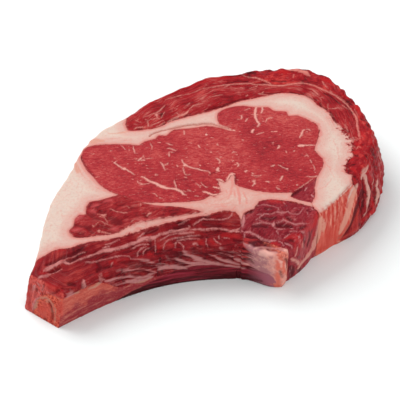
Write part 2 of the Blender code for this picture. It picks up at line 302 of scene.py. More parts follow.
def dress(piece, material):
    """Put a material on a piece, and let it stand for its solid on the one body."""
    piece.data.materials.clear()
    piece.data.materials.append(material)
    piece.data.polygons.foreach_set("use_smooth", [True] * len(piece.data.polygons))
    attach(piece, "root")
    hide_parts(piece.name[:-len("_meat")])


def add(tree, kind, sockets=(), out=0, **settings):
    """Add one shader node with its settings, fill or link its inputs, and return an output."""
    made = tree.nodes.new("ShaderNode" + kind)
    for name, value in settings.items():
        setattr(made, name, value)
    for key, value in dict(sockets).items():
        if isinstance(value, bpy.types.NodeSocket):
            tree.links.new(value, made.inputs[key])
        else:
            made.inputs[key].default_value = value
    return made.outputs[out] if made.outputs else made


def colour(code):
    """Linear colour of an sRGB hex code."""
    parts = [int(code[i:i + 2], 16) / 255 for i in (0, 2, 4)]
    return [c / 12.92 if c <= 0.04045 else ((c + 0.055) / 1.055) ** 2.4 for c in parts] + [1.0]


def new_tree(name):
    """An empty material and its node tree."""
    made = bpy.data.materials.new(name)
    made.use_nodes = True
    made.node_tree.nodes.clear()
    return made, made.node_tree


def reached(tree, *bands):
    """How far each of some values has run from a start to an end, eased and multiplied together.

    A band is a value, its start and its end, then the most and the least that it gives. A value
    by itself counts as it is.
    """
    found = None
    for part in bands:
        if isinstance(part, tuple):
            value, start, end, most, least = part + (1.0, 0.0)[len(part) - 3:]
            part = add(tree, "MapRange", {0: value, 1: start, 2: end, 3: least, 4: most},
                       interpolation_type="SMOOTHSTEP")
        found = part if found is None else add(tree, "Math", {0: found, 1: part}, operation="MULTIPLY")
    return found


def lay(tree, base, code, *bands):
    """Lay a colour over another, as far as the values of the bands have run."""
    under, top = [c if isinstance(c, bpy.types.NodeSocket) else colour(c) for c in (base, code)]
    return add(tree, "Mix", {0: reached(tree, *bands), 6: under, 7: top}, out=2, data_type="RGBA")


def total(tree, start, *parts):
    """A value with some others added to it, each times its amount."""
    for value, amount in parts:
        start = add(tree, "Math", {0: value, 1: amount, 2: start}, operation="MULTIPLY_ADD")
    return start


def paint(tree, base, kind, shift, soft, most, code):
    """Lay the drawn marks of one kind over a colour, with a soft edge that a noise frays."""
    depth = add(tree, "Attribute", out="Fac", attribute_name=kind)
    return lay(tree, base, code, (total(tree, shift, (depth, 1.0)), *soft, most))


def millimetres(tree):
    """A piece's own coordinates, in mm."""
    place = add(tree, "TexCoord", out="Object")
    return add(tree, "VectorMath", {0: place, 1: (1000, 1000, 1000)}, operation="MULTIPLY")


def stripes(tree, spot):
    """Noise in long slanting stripes, as the fascia on the rib side is drawn out."""
    slant = (0, math.radians(27), 0)
    slanting = add(tree, "Mapping", {0: spot, "Rotation": slant, "Scale": (0.1, 0.1, 0.85)})
    return add(tree, "TexNoise", {"Vector": slanting, "Scale": 1.0, "Detail": 4.0, "Roughness": 0.6})


def moist(tree, base, gloss, relief, strength, depth, glow):
    """Close a material as wet tissue, under a satin film, with light going in a little way.

    Muscle has an IOR near 1.38 and fat near 1.45, and one value between them serves both. Relief
    is so many mm deep, and glow is how far each colour of light goes, in mm: red goes furthest.
    """
    bump = add(tree, "Bump", {"Height": relief, "Strength": strength, "Distance": depth * MM})
    shader = add(tree, "BsdfPrincipled", {
        "Base Color": base, "Roughness": gloss, "Normal": bump, "IOR": 1.42, "Specular IOR Level": 0.1,
        "Subsurface Weight": 0.1, "Subsurface Radius": glow, "Subsurface Scale": MM})
    add(tree, "OutputMaterial", {"Surface": shader})


# The membrane over the foot of the rib: smooth, so its colours run long and soft, and thin, so
# the bone shows through as a wine-red that turns mauve on the knuckle. Painted shade darkens it
# downwards, and painted highlights run along it in pale streaks.
def membrane(tree, spot, base, streak):
    """Lay the membrane over a colour, under its edge, which the streaks fray. It carries painted shade
    low down and painted highlight streaks.
    """
    across, up = [add(tree, "SeparateXYZ", {0: spot}, out=axis) for axis in (0, 2)]
    depth = add(tree, "Attribute", out="Fac", attribute_name="skin")
    drawn_out = add(tree, "VectorMath", {0: spot, 1: (0.04, 0.04, 0.5)}, operation="MULTIPLY")
    along = add(tree, "TexNoise", {"Vector": drawn_out, "Scale": 1.0, "Detail": 4.0, "Roughness": 0.65})
    # Painted shade: the membrane darkens downwards to near black.
    skin = lay(tree, "7A1A28", "340208", (total(tree, up, (streak, 5.0), (along, 8.0)), 14.5, 9.0))
    skin = lay(tree, skin, "3C030A", (along, 0.5, 0.38, 0.8))
    # Painted highlights: paler streaks along the rib.
    skin = lay(tree, skin, "9A3444", (along, 0.54, 0.66, 0.55))
    skin = lay(tree, skin, "94505E", (across, -7.0, 1.0))
    return lay(tree, base, skin, (total(tree, depth, (streak, 1.5)), 0.2, 1.2, 0.95))


# Fresh bone, scraped and sawn: smoother than meat and a little waxy, so its roughness is 0.3 to
# 0.45. Scraping leaves grooves some 2 mm apart along it. The saw opens a red sponge, whose pores
# of under 1 mm are drawn at about 1 mm, as finer ones wouldn't show.
def bone(name, past, before, split, streak, dark, sheet, flush, marrow, run=(0.12, 0.12, 0.55), axis=2):
    """Bone surface: one colour past a place in mm along an axis and another before, sawn spongy.

    Grooves come so many to a mm along each axis. Where a film of flesh is left, it is dark red.
    """
    made, tree = new_tree(name)
    spot = millimetres(tree)
    sawn, flesh = [add(tree, "Attribute", out="Fac", attribute_name=kind) for kind in ("sawn", "flesh")]
    along = add(tree, "VectorMath", {0: spot, 1: run}, operation="MULTIPLY")
    grooves, blotch, grit = [
        add(tree, "TexNoise", {"Vector": where, "Scale": per_mm, "Detail": detail, "Roughness": crumb})
        for where, per_mm, detail, crumb in [
            (along, 1.0, 5.0, 0.65),
            (spot, 0.2, 3.0, 0.55),
            (spot, 0.9, 4.0, 0.7)]]
    streaks = stripes(tree, spot)
    how_far = add(tree, "SeparateXYZ", {0: spot}, out=axis)
    base = lay(tree, before, past, (total(tree, how_far, (blotch, 16.0)), split + 5.0, split + 10.0))
    base = lay(tree, base, streak, (grooves, 0.5, 0.68, 0.5))
    base = lay(tree, base, dark, (grooves, 0.48, 0.32, 0.45))
    base = lay(tree, base, streak, (grit, 0.52, 0.68, 0.4))
    base = lay(tree, base, dark, (grit, 0.46, 0.34, 0.35))
    fleshy = lay(tree, "4E0812", "A02A2C", (streaks, 0.42, 0.62))
    base = lay(tree, base, lay(tree, fleshy, "B4403C", (grooves, 0.5, 0.7, 0.5)), flesh)
    sponge = lay(tree, *marrow, (grit, 0.38, 0.62))
    base = lay(tree, base, lay(tree, sponge, sheet, (blotch, 0.52, 0.64, 0.5)), sawn)
    rough = total(tree, -1.0, (grit, 2.0))
    fray = total(tree, -1.0, (streaks, 2.0))
    # Bright spots: partly bright tissue, partly painted highlights.
    base = paint(tree, base, "flush", rough, (-1.5, 0.9), 0.8, flush)
    base = membrane(tree, spot, base, streaks)
    # Painted shade: the creases are darkened to a deep red.
    base = paint(tree, base, "crease", rough, (-1.0, 0.6), 0.8, "45060F")
    base = paint(tree, base, "sheet", fray, (-0.6, 0.7), 0.8, lay(tree, sheet, "B87A78", flesh))
    gloss = add(tree, "MapRange", {0: grit, 1: 0.35, 2: 0.65, 3: 0.3, 4: 0.45})
    moist(tree, base, gloss, total(tree, grit, (grooves, 1.0)), 0.45, 0.3, (1.0, 0.4, 0.3))
    return made


SAWN_WAY = np.array([-0.928, -0.309, 0.205])  # the way the sawn end of the rib faces
MEMBRANE_TOP = np.array([  # x and z in mm of the membrane's upper edge
    (-74, 0), (-57.5, 4.6), (-46, 8), (-36, 10.6), (-27, 12.7), (-23, 13), (-14, 10.5), (-8, 9),
    (-4, 10.5), (0, 11), (3, 8), (5, 0)])


def keep_sides(piece, points, sponge=0.0):
    """Store where a piece is sawn or spongy, and how far it lies under the membrane's edge."""
    turned = facings(piece)
    sawn = ease(0.6, 0.85, turned @ SAWN_WAY) * ease(-96, -100, points[:, 0])
    sawn = np.maximum(sawn, sponge)
    skin = np.interp(points[:, 0], *MEMBRANE_TOP.T) - points[:, 2] - 8 * sawn
    front = ease(4, 2, read(inset_map, points)) * ease(-0.1, 0.3, -turned[:, 1])
    keep(piece, "sawn", sawn)
    keep(piece, "skin", np.where(front > 0.3, np.clip(skin, -4, 4), -4.0))


def front_relief(points, found):
    """How far fascia stands out of the rib side, and furrows lie in it."""
    rough = 0.4 * lumps(points, (7, 7, 4), 4.0) + 0.35 * ease(-1, 0.3, found["sheet"])
    return rough - 0.5 * ease(-0.8, 0.3, found["crease"])


# Marks are drawn lines, each a width and its points, in mm. Sheets are pale fascia, creases are
# dark furrows darkened with painted shade, flushes are bright red spots, partly painted highlights,
# and veins are marbling.
rib_side_marks = {"sheet": [
    (1.0, [(-59.4, -21.5, 24.1), (-57.7, -22.7, 24), (-55.1, -24.7, 23.6), (-52.6, -26.6, 23.3),
        (-49, -27.8, 20.5), (-45.3, -29, 18.1), (-42.2, -30.2, 16.7)]),
    (1.2, [(-70.4, -22.7, 23.1), (-68.1, -23, 23.1), (-63.9, -24.2, 21.7), (-59.4, -25.1, 20.1),
        (-55, -26.1, 17.8), (-51.8, -27, 15.3), (-48.6, -27.9, 12.5)]),
    (1.8, [(-74.4, -22.5, 18.8), (-72.6, -22.7, 18.6), (-68.6, -23.3, 17.7), (-65.2, -23.9, 16.8),
        (-60.8, -24.8, 13.6), (-56.3, -25.8, 11.6), (-53.5, -26.5, 12), (-49.7, -27.6, 12.1)]),
    (3.4, [(-65.3, -23.9, 12.5), (-59.7, -25, 9.9), (-55.3, -26.1, 9.1), (-50.8, -27.3, 10.1)]),
    (1.0, [(-71.2, -22.9, 11.9), (-67.7, -23.5, 12.1), (-64.2, -24.1, 11.2)]),
    (3.4, [(-47.5, -28.3, 14.8), (-43.8, -29.6, 15.2), (-40.2, -31, 14.3), (-36.2, -32.7, 12.6),
        (-33.2, -34, 11.1)]),
    (1.1, [(-43.1, -29.8, 23.6), (-40.1, -31, 21.6), (-37.1, -32.3, 19.6), (-33.6, -33.8, 16.8),
        (-30.2, -35.5, 13.7)]), (0.9, [(-48.5, -28, 17.6), (-45.4, -29, 16.1), (-42.3, -30.2, 14.7)]),
    (3.0, [(-34.2, -32.8, 24.1), (-31.1, -35, 21.8), (-28.3, -36.5, 18.9), (-24.9, -38.3, 16)]),
    (2.6, [(-29.2, -36, 17.5), (-24.5, -38.6, 15.5), (-19.8, -41.4, 13), (-15.2, -44.3, 12.2)]),
    (2.4, [(-38.1, -31.8, 19.5), (-33.1, -34.1, 15.9), (-29.2, -36, 14.7), (-24.5, -38.6, 14.3)]),
    (0.9, [(-22.6, -39.7, 20.4), (-19.8, -41.4, 18.6), (-17.5, -42.8, 16.4), (-15.2, -44.3, 14.2)]),
    (0.8, [(-19.4, -41.6, 22.8), (-16.2, -43.6, 21), (-13.5, -45.4, 19.3), (-11.3, -47, 17.7)]),
    (0.8, [(-16.8, -42.6, 24.8), (-14.4, -44.8, 23.3), (-11.7, -46.7, 21.2), (-8.2, -49.2, 18.8),
        (-6, -51.6, 17.5)]),
    (2.4, [(-19.3, -41.6, 17.3), (-15.2, -44.3, 15), (-11.6, -46.7, 13.3), (-8.1, -49.2, 11.6)]),
    (0.8, [(-12.2, -46.3, 23.6), (-9.6, -48.2, 21.6), (-6.6, -49.7, 18.6), (-5, -53, 17.8)]),
    (0.9, [(-8.3, -49.1, 22.7), (-6, -51.5, 21), (-4.4, -53.9, 19)]),
    (1.9, [(-37.2, -32.2, 11.7), (-33.6, -33.8, 12.4), (-30.2, -35.5, 13.3), (-26.4, -37.5, 13.4),
        (-21.6, -40.3, 13), (-17, -43.1, 11.7), (-12.5, -46.1, 10.7), (-8.1, -49.3, 9.8),
        (-5.6, -52.2, 10.2)]), (2.6, [(-10.8, -47.3, 16.1), (-7.5, -49.7, 14.8), (-5, -53.1, 13.4)]),
], "crease": [
    (2.4, [(-64.5, -21.5, 23.7), (-62.2, -23.6, 23.3), (-58.2, -25.4, 21.9), (-53.4, -26.6, 19.5),
        (-49.1, -27.8, 16.6)]),
    (1.5, [(-66.9, -19.3, 24.1), (-63.3, -21.6, 23.8), (-59.7, -23.8, 23.4), (-56, -25.8, 23),
        (-51.7, -27, 20.8)]), (1.1, [(-50.1, -27.5, 19.8), (-46.4, -28.7, 17.6), (-42.2, -30.2, 15.7)]),
    (1.6, [(-70.8, -23, 20.8), (-68.5, -23.4, 21), (-65.1, -23.9, 20.1), (-61.7, -24.6, 19),
        (-58.4, -25.3, 17.4), (-55.1, -26.1, 15.2), (-50.3, -27.4, 12)]),
    (0.9, [(-64, -24.1, 17.5), (-60.7, -24.8, 15.1), (-57.4, -25.6, 13.1)]),
    (1.0, [(-71.6, -22.9, 15.3), (-68.1, -23.4, 15), (-64.1, -24.1, 14.1)]),
    (1.6, [(-46.3, -28.7, 22.7), (-42.2, -30.2, 19.8), (-38.1, -31.8, 17.1), (-34.1, -33.6, 14.9)]),
    (1.0, [(-39.1, -31.4, 17.4), (-35.1, -33.1, 15.3), (-31.7, -34.8, 13.7)]),
    (2.2, [(-40.5, -29.8, 24), (-37.1, -32.3, 23.1), (-34.1, -33.6, 21.2), (-31.1, -35, 19.4)]),
    (3.6, [(-29.7, -34.9, 24.3), (-25.4, -38.1, 21.6), (-22.1, -40, 19.6)]),
    (2.6, [(-22.6, -39.7, 23.2), (-18, -42.5, 20.3), (-14.4, -44.8, 17.4), (-11.7, -46.7, 14.9)]),
    (1.4, [(-22.6, -39.7, 18.1), (-19.8, -41.4, 15.4), (-17.5, -42.8, 13.6)]),
    (2.0, [(-19.8, -41.3, 24.1), (-16.2, -43.6, 22.2), (-11.7, -46.7, 19.3)]),
    (1.3, [(-10.4, -47.6, 21.2), (-6.5, -49.7, 18.2), (-4.7, -53.5, 17.2), (-3.4, -55.4, 15.3)]),
    (1.1, [(-14.4, -44.8, 23.3), (-10, -47.9, 20.2)]),
    (1.4, [(-45.1, -27.1, 24.1), (-42, -30.1, 23.6), (-39.1, -31.4, 22.5)]),
    (1.0, [(-28.3, -36.5, 19.7), (-24.9, -38.3, 17.6), (-21.7, -40.2, 14.8)]),
]}
sawn_end_marks = {"sheet": [
    (1.3, [(-112, -4.2, 3), (-111.2, -4, 7.1), (-109.8, -5.4, 11.1), (-108.2, -8.4, 14.2),
        (-106.9, -11.4, 15.7), (-106.1, -14, 15.4), (-105.7, -16.1, 13.9), (-105.7, -17.8, 11.4),
        (-106.4, -18.4, 6.9), (-107.4, -18.4, 2.7)]), (3.2, [(-111.4, -5, 4.9), (-110.2, -5.8, 9)]),
    (0.7, [(-105.8, -11.2, 20.5), (-104.7, -14.5, 20.1), (-103.7, -17.7, 19.7), (-103, -20.5, 19.3)]),
    (2.6, [(-100.5, -20.8, 22.3), (-96.9, -20.9, 22), (-92.9, -21.2, 20.4)]),
    (2.6, [(-87.5, -21.5, 19.4), (-83.3, -21.8, 19.3), (-79.6, -22, 20.9)]),
    (2.6, [(-77.8, -22.1, 19.9), (-74.4, -22.5, 18.8), (-70.3, -23.1, 18.6)]),
    (1.6, [(-109.8, -2.9, 14.9), (-109, -3.1, 18.4), (-108.3, -3.4, 20.7)]),
    (1.4, [(-107.6, -4.5, 22.7), (-107.2, -6.6, 21.2), (-107.3, -8.3, 18.1)]),
    (1.2, [(-108.3, -5.9, 17.3), (-108.1, -7.3, 16.1)]),
], "flush": [
    (3.6, [(-108.3, -10.1, 11.2), (-108.4, -11.8, 8.4), (-109.5, -11, 4.5), (-109.1, -13.2, 3)]),
    (3.0, [(-109.8, -8, 7.5), (-110.2, -9.1, 4), (-109.8, -12.1, 1.6)]),
    (2.2, [(-107.2, -13.3, 11.5), (-107.6, -14.4, 8), (-108.3, -15, 4.1)]),
    (2.2, [(-110.4, 0.6, 17.5), (-111.3, 0, 12.4), (-112.1, -1, 7.4), (-113, -1.7, 2.2)]),
    (1.8, [(-104.4, -18.8, 15.5), (-105.3, -19.5, 10.4), (-106.3, -20, 5.1)]),
    (1.6, [(-102.9, -19.5, 20.7), (-104, -20.4, 15.1), (-104.8, -20.9, 8.1)]),
], "crease": [
    (1.0, [(-106.7, -13.3, 13.6), (-106.6, -15.2, 11.3), (-107, -16.4, 7.8), (-107.8, -16.7, 3.7)]),
    (0.9, [(-108.6, -4.5, 17.9), (-109, -4.7, 15.9)]),
    (0.8, [(-109.7, -1.2, 18), (-110.4, -1.3, 14.6)]),
    (1.0, [(-110.2, -11.6, 0.5), (-109.4, -13.4, 1.3)]),
]}
rib_bone = fine_copy("rib_bone", grain=0.6)
points, found = mark(rib_bone, rib_side_marks, sawn_end_marks)
shape(rib_bone, points, out=front_relief(points, found), reaches_top=0.0)
keep_sides(rib_bone, points)
scraped_bone = bone("scraped_rib_bone", past="B24E42", before="8A2A32", split=11.5, streak="CC7C6A",
                    dark="8C2628", sheet="B07C6A", flush="BE463C", marrow=("961A16", "DA624C"))
dress(rib_bone, scraped_bone)


# The knuckle: the end of the rib by the spine, with pale gristle over its face and a sponge of
# red marrow where the saw went through it. Flesh is left on it along the rib and on its top.
knuckle_marks = {"sheet": [
    (2.4, [(7.1, -63.2, 25.7), (9.5, -65.3, 25.2), (12, -65.8, 22.9)]),
    (1.8, [(3.8, -65.7, 24.8), (5.6, -67, 21.7), (5.8, -67.1, 17)]),
    (1.2, [(7.6, -67.3, 19.1), (9.1, -66.7, 11.2)]),
    (1.5, [(-3, -54.5, 25.1), (-1.1, -55.5, 25.4), (0.7, -56.6, 25.7), (2.6, -58.5, 26),
        (4.8, -60.9, 26.1), (7.3, -62.9, 25.8)]),
    (3.0, [(-2, -57.6, 24.6), (-0.2, -59.6, 25.2), (2, -61.9, 25.4), (5.5, -64.4, 25.4)]),
], "flush": [
    (3.4, [(5, -65.9, 25.1), (4.8, -66.5, 20.2), (4.5, -66.3, 14.7)]),
    (3.0, [(7.3, -67.5, 23.4), (7.8, -67.3, 16.6), (7.1, -67.5, 11.6)]),
    (2.6, [(4.1, -66.1, 12.3), (4.7, -66.5, 6.6), (4.4, -66.3, 1.8)]),
    (2.4, [(2.4, -64.4, 2.3), (4, -66, 1), (5.8, -67.1, 2.5)]),
    (2.0, [(11.5, -64.5, 25.5), (11.1, -66, 23.6)]),
    (2.0, [(11.3, -65.9, 21.1), (12.5, -65.8, 13.8), (11.3, -65.9, 7.5)]),
    (1.6, [(-0.9, -59.8, 2.7), (0.9, -62.8, 2.6)]),
], "crease": [
    (1.6, [(7.2, -67.5, 24.2), (9.7, -66.5, 17), (9, -66.8, 12.9)]),
    (1.4, [(5.4, -66.9, 13.8), (6.6, -67.5, 8.8)]),
    (1.6, [(-7.9, -49.3, 1.5), (-5.1, -52.9, 1.6), (-2.6, -56.7, 2.6), (-0.6, -60.3, 3.8)]),
    (0.8, [(-2.6, -56.7, 1), (-0.3, -60.9, 0.8), (2.1, -64.1, 0.1)]),
]}
knuckle = fine_copy("chine_bone", grain=0.6)
# Nearly all of it is worn smooth: fine_copy leaves its upper face and its wall selected, and
# this adds the whole of its end by the spine, past x 3 mm.
knuckle.data.vertices.foreach_set("select", places(knuckle)[:, 0] > 3.0)
bpy.ops.object.mode_set(mode="EDIT")
bpy.ops.mesh.select_mode(type="VERT")
bpy.ops.mesh.vertices_smooth(factor=0.5, repeat=10)
bpy.ops.object.mode_set(mode="OBJECT")
points, found = mark(knuckle, knuckle_marks, rib_side_marks)
past_seam = ease(-7.5, -2.5, points[:, 0])
out = past_seam * (0.5 * lumps(points, 6, 4.0) + 0.4) + (1 - past_seam) * front_relief(points, found)
points[:, 0] -= 1.2 * ease(-5.0, -7.2, points[:, 0])  # into the rib, so that no gap shows
shape(knuckle, points, rise=0.3 * lumps(points, 5, 2.0), out=out, rounding=2.0)
corner = ease(2.0, 7.0, points[:, 0] + 2.0 * lumps(points, 3, 5.0) + lumps(points, 1.2, 7.0))
foot = ease(4.5, 2.0, points[:, 2] + 1.6 * lumps(points, 2, 6.0)) * ease(-4, 0, points[:, 0])
keep_sides(knuckle, points, sponge=0.8 * np.maximum(corner, foot))
ragged = 0.9 * lumps(points, (2.5, 2.5, 6), 8.0)
on_top = ease(0.5, 0.8, facings(knuckle)[:, 2]) * ease(1.2, 2.8, read(inset_map, points) + ragged)
slanting = points @ np.array([[0.89, 0.0, 0.45], [0.0, 0.0, 0.0], [-0.45, 0.0, 0.89]])
tongues = lumps(slanting, (9.0, 1.0, 1.1), 3.0)
by_rib = ease(-2.5, -5.5, points[:, 0] + 3.2 * tongues + 0.12 * (points[:, 2] - 12))
keep(knuckle, "flesh", np.maximum(by_rib, on_top))
gristle = bone("knuckle_gristle", past="D08C80", before="A46A6E", split=1.0, streak="DCA898",
               dark="A05E60", sheet="DEA89C", flush="C85A48", marrow=("A03A2E", "DC7A64"),
               run=(0.3, 0.3, 0.3), axis=0)
dress(knuckle, gristle)


# The two muscles over the rib: long coarse bundles along the bone, dark where they are dry, and
# parted by a white sheet of gristle. Pale fascia covers their outer wall in slanting stripes.
#
# Raw beef as cut is dark and wet, satin under its own juice, so its roughness is 0.36, and 0.5
# where it is waxy fat. Fibres are under 0.1 mm and too fine to show, so the bundles that they
# lie in are drawn, about 1 mm wide.
def meat(name, tones, wide=1.1, long=7.0, patchy=0.8, crisp=1.1, flecks_and_glints=0.5, threads=0.5, film=0.0,
         border_shade=0.35, streaky=0.0, veining=0.92, fading=0.75, vein="D0857A", flush="A8141A",
         crease="4C0610", sheet="B87A78"):
    """Raw meat as cut, with its walls: three tones of lean, and fat where the marks say so.

    Bundles are so many mm wide and long on the cut face, and run down through the walls. patchy
    and crisp are how far large patches and single bundles change the tone. The next six amounts are
    how strongly each of these is laid on: flecks of marbling, which also stand for painted glints,
    threads, film, a painted shade along the border of fat, streaks, and veins. fading is what is
    left of a drawn vein where it fades. The last four are colours: of veins, of bright spots and
    painted highlights, of creases with their painted shade, and of sheets.
    """
    made, tree = new_tree(name)
    deep, lean, light = tones
    spot = millimetres(tree)
    grain, feather = [add(tree, "Attribute", out="Vector", attribute_name=kind)
                      for kind in ("grain", "feather")]
    fat, veined, wall, torn, stain, tone, sawn, filmed, height = [
        add(tree, "Attribute", out="Fac", attribute_name=kind)
        for kind in ("fat", "vein", "wall", "torn", "stain", "tone", "sawn", "film", "level")]
    run = add(tree, "VectorMath", {0: grain, 1: (1 / long, 1 / wide, 0.1)}, operation="MULTIPLY")
    pillar = add(tree, "VectorMath", {0: spot, 1: (1, 1, 0.13)}, operation="MULTIPLY")
    on_face, on_wall, ends, patch, uneven, tear, speck_noise, strand, cloud = [
        add(tree, "TexNoise", {"Vector": where, "Scale": per_mm, "Detail": detail, "Roughness": crumb,
                               "Distortion": twist})
        for where, per_mm, detail, crumb, twist in [
            (run, 1.0, 5.0, 0.66, 0.4),  # bundles on the cut face
            (pillar, 0.7, 5.0, 0.65, 0.0),  # bundles down a wall, 1.4 mm apart
            (pillar, 1.5, 3.0, 0.7, 0.0),  # cut ends of bundles, 0.7 mm
            (pillar, 0.1, 2.0, 0.5, 0.0),  # patches of 10 mm
            (pillar, 0.3, 3.0, 0.6, 0.0),  # stretches of a vein, 3 mm
            (feather, 1.0, 5.0, 0.72, 0.0),  # spikes along a torn border
            (run, 0.8, 3.0, 0.6, 0.8),  # flecks of marbling, which also stand for painted glints
            (run, 0.3, 3.0, 0.5, 1.2),  # threads of marbling
            (spot, 0.07, 6.0, 0.7, 0.6)]]  # clouds of film, 14 mm
    here_and_there = (patch, 0.4, 0.56)

    # Lean: three tones by patch, bundle and bundle end, brighter where sawn, and painted shade along
    # the fat.
    bundle = add(tree, "Mix", {0: wall, 2: on_face, 3: on_wall})
    level = total(tree, tone, (patch, patchy), (bundle, crisp), (ends, 0.5), (sawn, 0.5))
    middle = 0.5 * (patchy + crisp + 0.5)
    base = lay(tree, deep, lean, (level, middle - 0.28, middle))
    base = lay(tree, base, light, (level, middle, middle + 0.36, 0.95))
    base = lay(tree, base, "E0655C", (ends, 0.4, 0.6, 0.75), sawn)
    # Painted shade: lean darkened to its deep tone in a thin band along the border of fat.
    base = lay(tree, base, deep, (fat, -1.3, -0.3, border_shade), here_and_there)

    # Fat: spikes along its border, cream in its depth, with a blush, and bloody where stained.
    lift = reached(tree, total(tree, -0.5, (tear, 1.0)), torn)
    border = total(tree, fat, (lift, 8.0))
    base = lay(tree, base, "C4605A", (border, -1.2, -0.1, 0.25))
    is_fat = reached(tree, (border, -0.2, 0.2))
    waxy = lay(tree, "CC8078", "CFA59A", (border, 0.3, 2.6))
    waxy = lay(tree, waxy, "D2BFB2", (border, 3.0, 8.5, 0.85))
    waxy = lay(tree, waxy, "CC8E83", (total(tree, tone, (on_wall, 1.0)), 0.46, 0.72, 0.55))
    waxy = lay(tree, waxy, "C98F84", (ends, 0.54, 0.72, 0.3))
    waxy = lay(tree, waxy, "D08A80", (tear, 0.5, 0.72, 0.6), (torn, 0.36, 0.7))
    bloody = lay(tree, "B23228", "D88674", (on_wall, 0.42, 0.64))
    bloody = lay(tree, bloody, "C24A3E", (height, 23.0, 12.0, 0.75))
    base = lay(tree, base, lay(tree, waxy, bloody, stain), is_fat)

    # Bright red spots with painted highlights, furrows with painted shade, then marbling: drawn
    # veins, with flecks that also stand for painted glints, and threads, in lean alone.
    rough = total(tree, -1.0, (ends, 2.0))
    # Bright red spots, partly bright tissue and partly painted highlights on crowns and rims.
    base = paint(tree, base, "flush", rough, (-1.6, 1.0), 0.7, flush)
    # Painted shade in the creases: deep red in lean, brownish in fat.
    base = paint(tree, base, "crease", rough, (-1.0, 0.6), 0.85, lay(tree, crease, "A4564A", is_fat))
    off_line = add(tree, "Math", {0: total(tree, -0.5, (strand, 1.0))}, operation="ABSOLUTE")
    thread = reached(tree, (off_line, 0.028, 0.006, threads), here_and_there)
    # Pale flecks: marbling, and painted glints on the wet lean.
    fleck_and_glint = reached(tree, (speck_noise, 0.63, 0.72, flecks_and_glints))
    fine = add(tree, "Math", {0: fleck_and_glint, 1: thread}, operation="MAXIMUM")
    fine = reached(tree, fine, total(tree, 1.0, (is_fat, -1.0)))
    drawn = (total(tree, rough, (veined, 1.0)), -0.35, 0.65, veining)
    drawn = reached(tree, drawn, (uneven, 0.38, 0.56, 1.0, fading))
    pale = add(tree, "Math", {0: drawn, 1: fine}, operation="MAXIMUM")
    base = lay(tree, base, vein, pale)

    # The walls: slanting streaks, membrane and fascia on the rib side, film over the far side.
    streaks = stripes(tree, spot)
    for start, end, code in [(0.48, 0.36, "3C0610"), (0.53, 0.66, sheet)]:
        base = lay(tree, base, code, (streaks, start, end, streaky), wall, (sawn, 0.3, 0.0))
    base = membrane(tree, spot, base, streaks)
    base = paint(tree, base, "sheet", total(tree, -1.0, (streaks, 2.0)), (-0.6, 0.7), 0.8, sheet)
    filmy = lay(tree, "C08078", "CDA89C", (on_wall, 0.4, 0.6))
    base = lay(tree, base, filmy, (cloud, 0.42, 0.6, film), filmed)

    raised = add(tree, "Math", {0: is_fat, 1: pale}, operation="MAXIMUM")
    gloss = add(tree, "MapRange", {0: raised, 3: 0.36, 4: 0.5})
    relief = total(tree, bundle, (raised, 0.4), (ends, 0.6))
    moist(tree, base, gloss, relief, 0.7, 0.7, (1.0, 0.35, 0.25))
    return made


# Fat and lean part cleanly round the eye and are torn elsewhere, most at these places: each is
# an x, a y and a radius in mm, and how much more torn it is there.
TORN_SPOTS = [(1, -16, 7, 1.2), (16, -36, 5, 0.4), (92, -12, 8, 2.4), (85, -27, 8, 2.4),
              (73, -41, 6, 1.6), (-46, -8, 10, 0.7)]
torn_map = 0.14 + 0.22 * ease(1.0, 4.0, reach_map(rims["eye_muscle"], 9.6))
for x, y, size, amount in TORN_SPOTS:
    torn_map = torn_map + amount * np.exp(-((map_points - (x, y)) ** 2).sum(axis=-1) / (2 * size * size))
KERNEL, EYE_MIDDLE = (9, -23), (25, 5)  # in plan, in mm
LONG_WAY, SHORT_WAY = np.array([0.809, -0.588]), np.array([0.588, 0.809])  # of the eye, in plan


def follow(piece, points, along, across, stain=0.0, tone=0.0, lean=0.0):
    """Store a piece's grain, its depth in fat or lean, and what else its material reads.

    Fat feathers into lean in spikes that point away from the kernel, or from the middle of the eye.
    """
    inset = read(inset_map, points)
    wall = (1 - ease(0.35, 0.75, abs(facings(piece)[:, 2]))) * ease(4, 0, inset)
    ways = [(points[:, 0] - x, points[:, 1] - y) for x, y in (KERNEL, EYE_MIDDLE)]
    far = [np.hypot(*way) for way in ways]
    turns = [np.arctan2(way[1], way[0]) for way in ways]
    by_kernel = far[0] < 24
    feather = np.stack([np.where(by_kernel, 12 * turns[0] / 1.6, 55 * turns[1] / 2.6),
                        np.where(by_kernel, far[0], far[1]) / 4.0, 0.1 * points[:, 2]], axis=1)
    past_rim = ease(0.6, -0.2, inset)
    is_fat = piece.name[:-len("_meat")] in FAT_NODES
    own = read(to_lean_map, points) if is_fat else -read(to_fat_map, points)
    fat = read(fat_map, points) * (1 - past_rim) + own * past_rim
    far_side = ease(-0.1, 0.3, outward(points)[0][:, :2] @ SHORT_WAY)
    keep_sides(piece, points)
    keep(piece, "grain", np.stack([along, across, points[:, 2]], axis=1))
    keep(piece, "feather", feather)
    keep(piece, "fat", fat * (1 - lean) - 3.0 * lean)
    keep(piece, "wall", wall)
    keep(piece, "torn", read(torn_map, points))
    keep(piece, "stain", stain * wall)
    keep(piece, "tone", tone + 0 * wall)
    keep(piece, "film", far_side * wall)
    keep(piece, "level", points[:, 2])


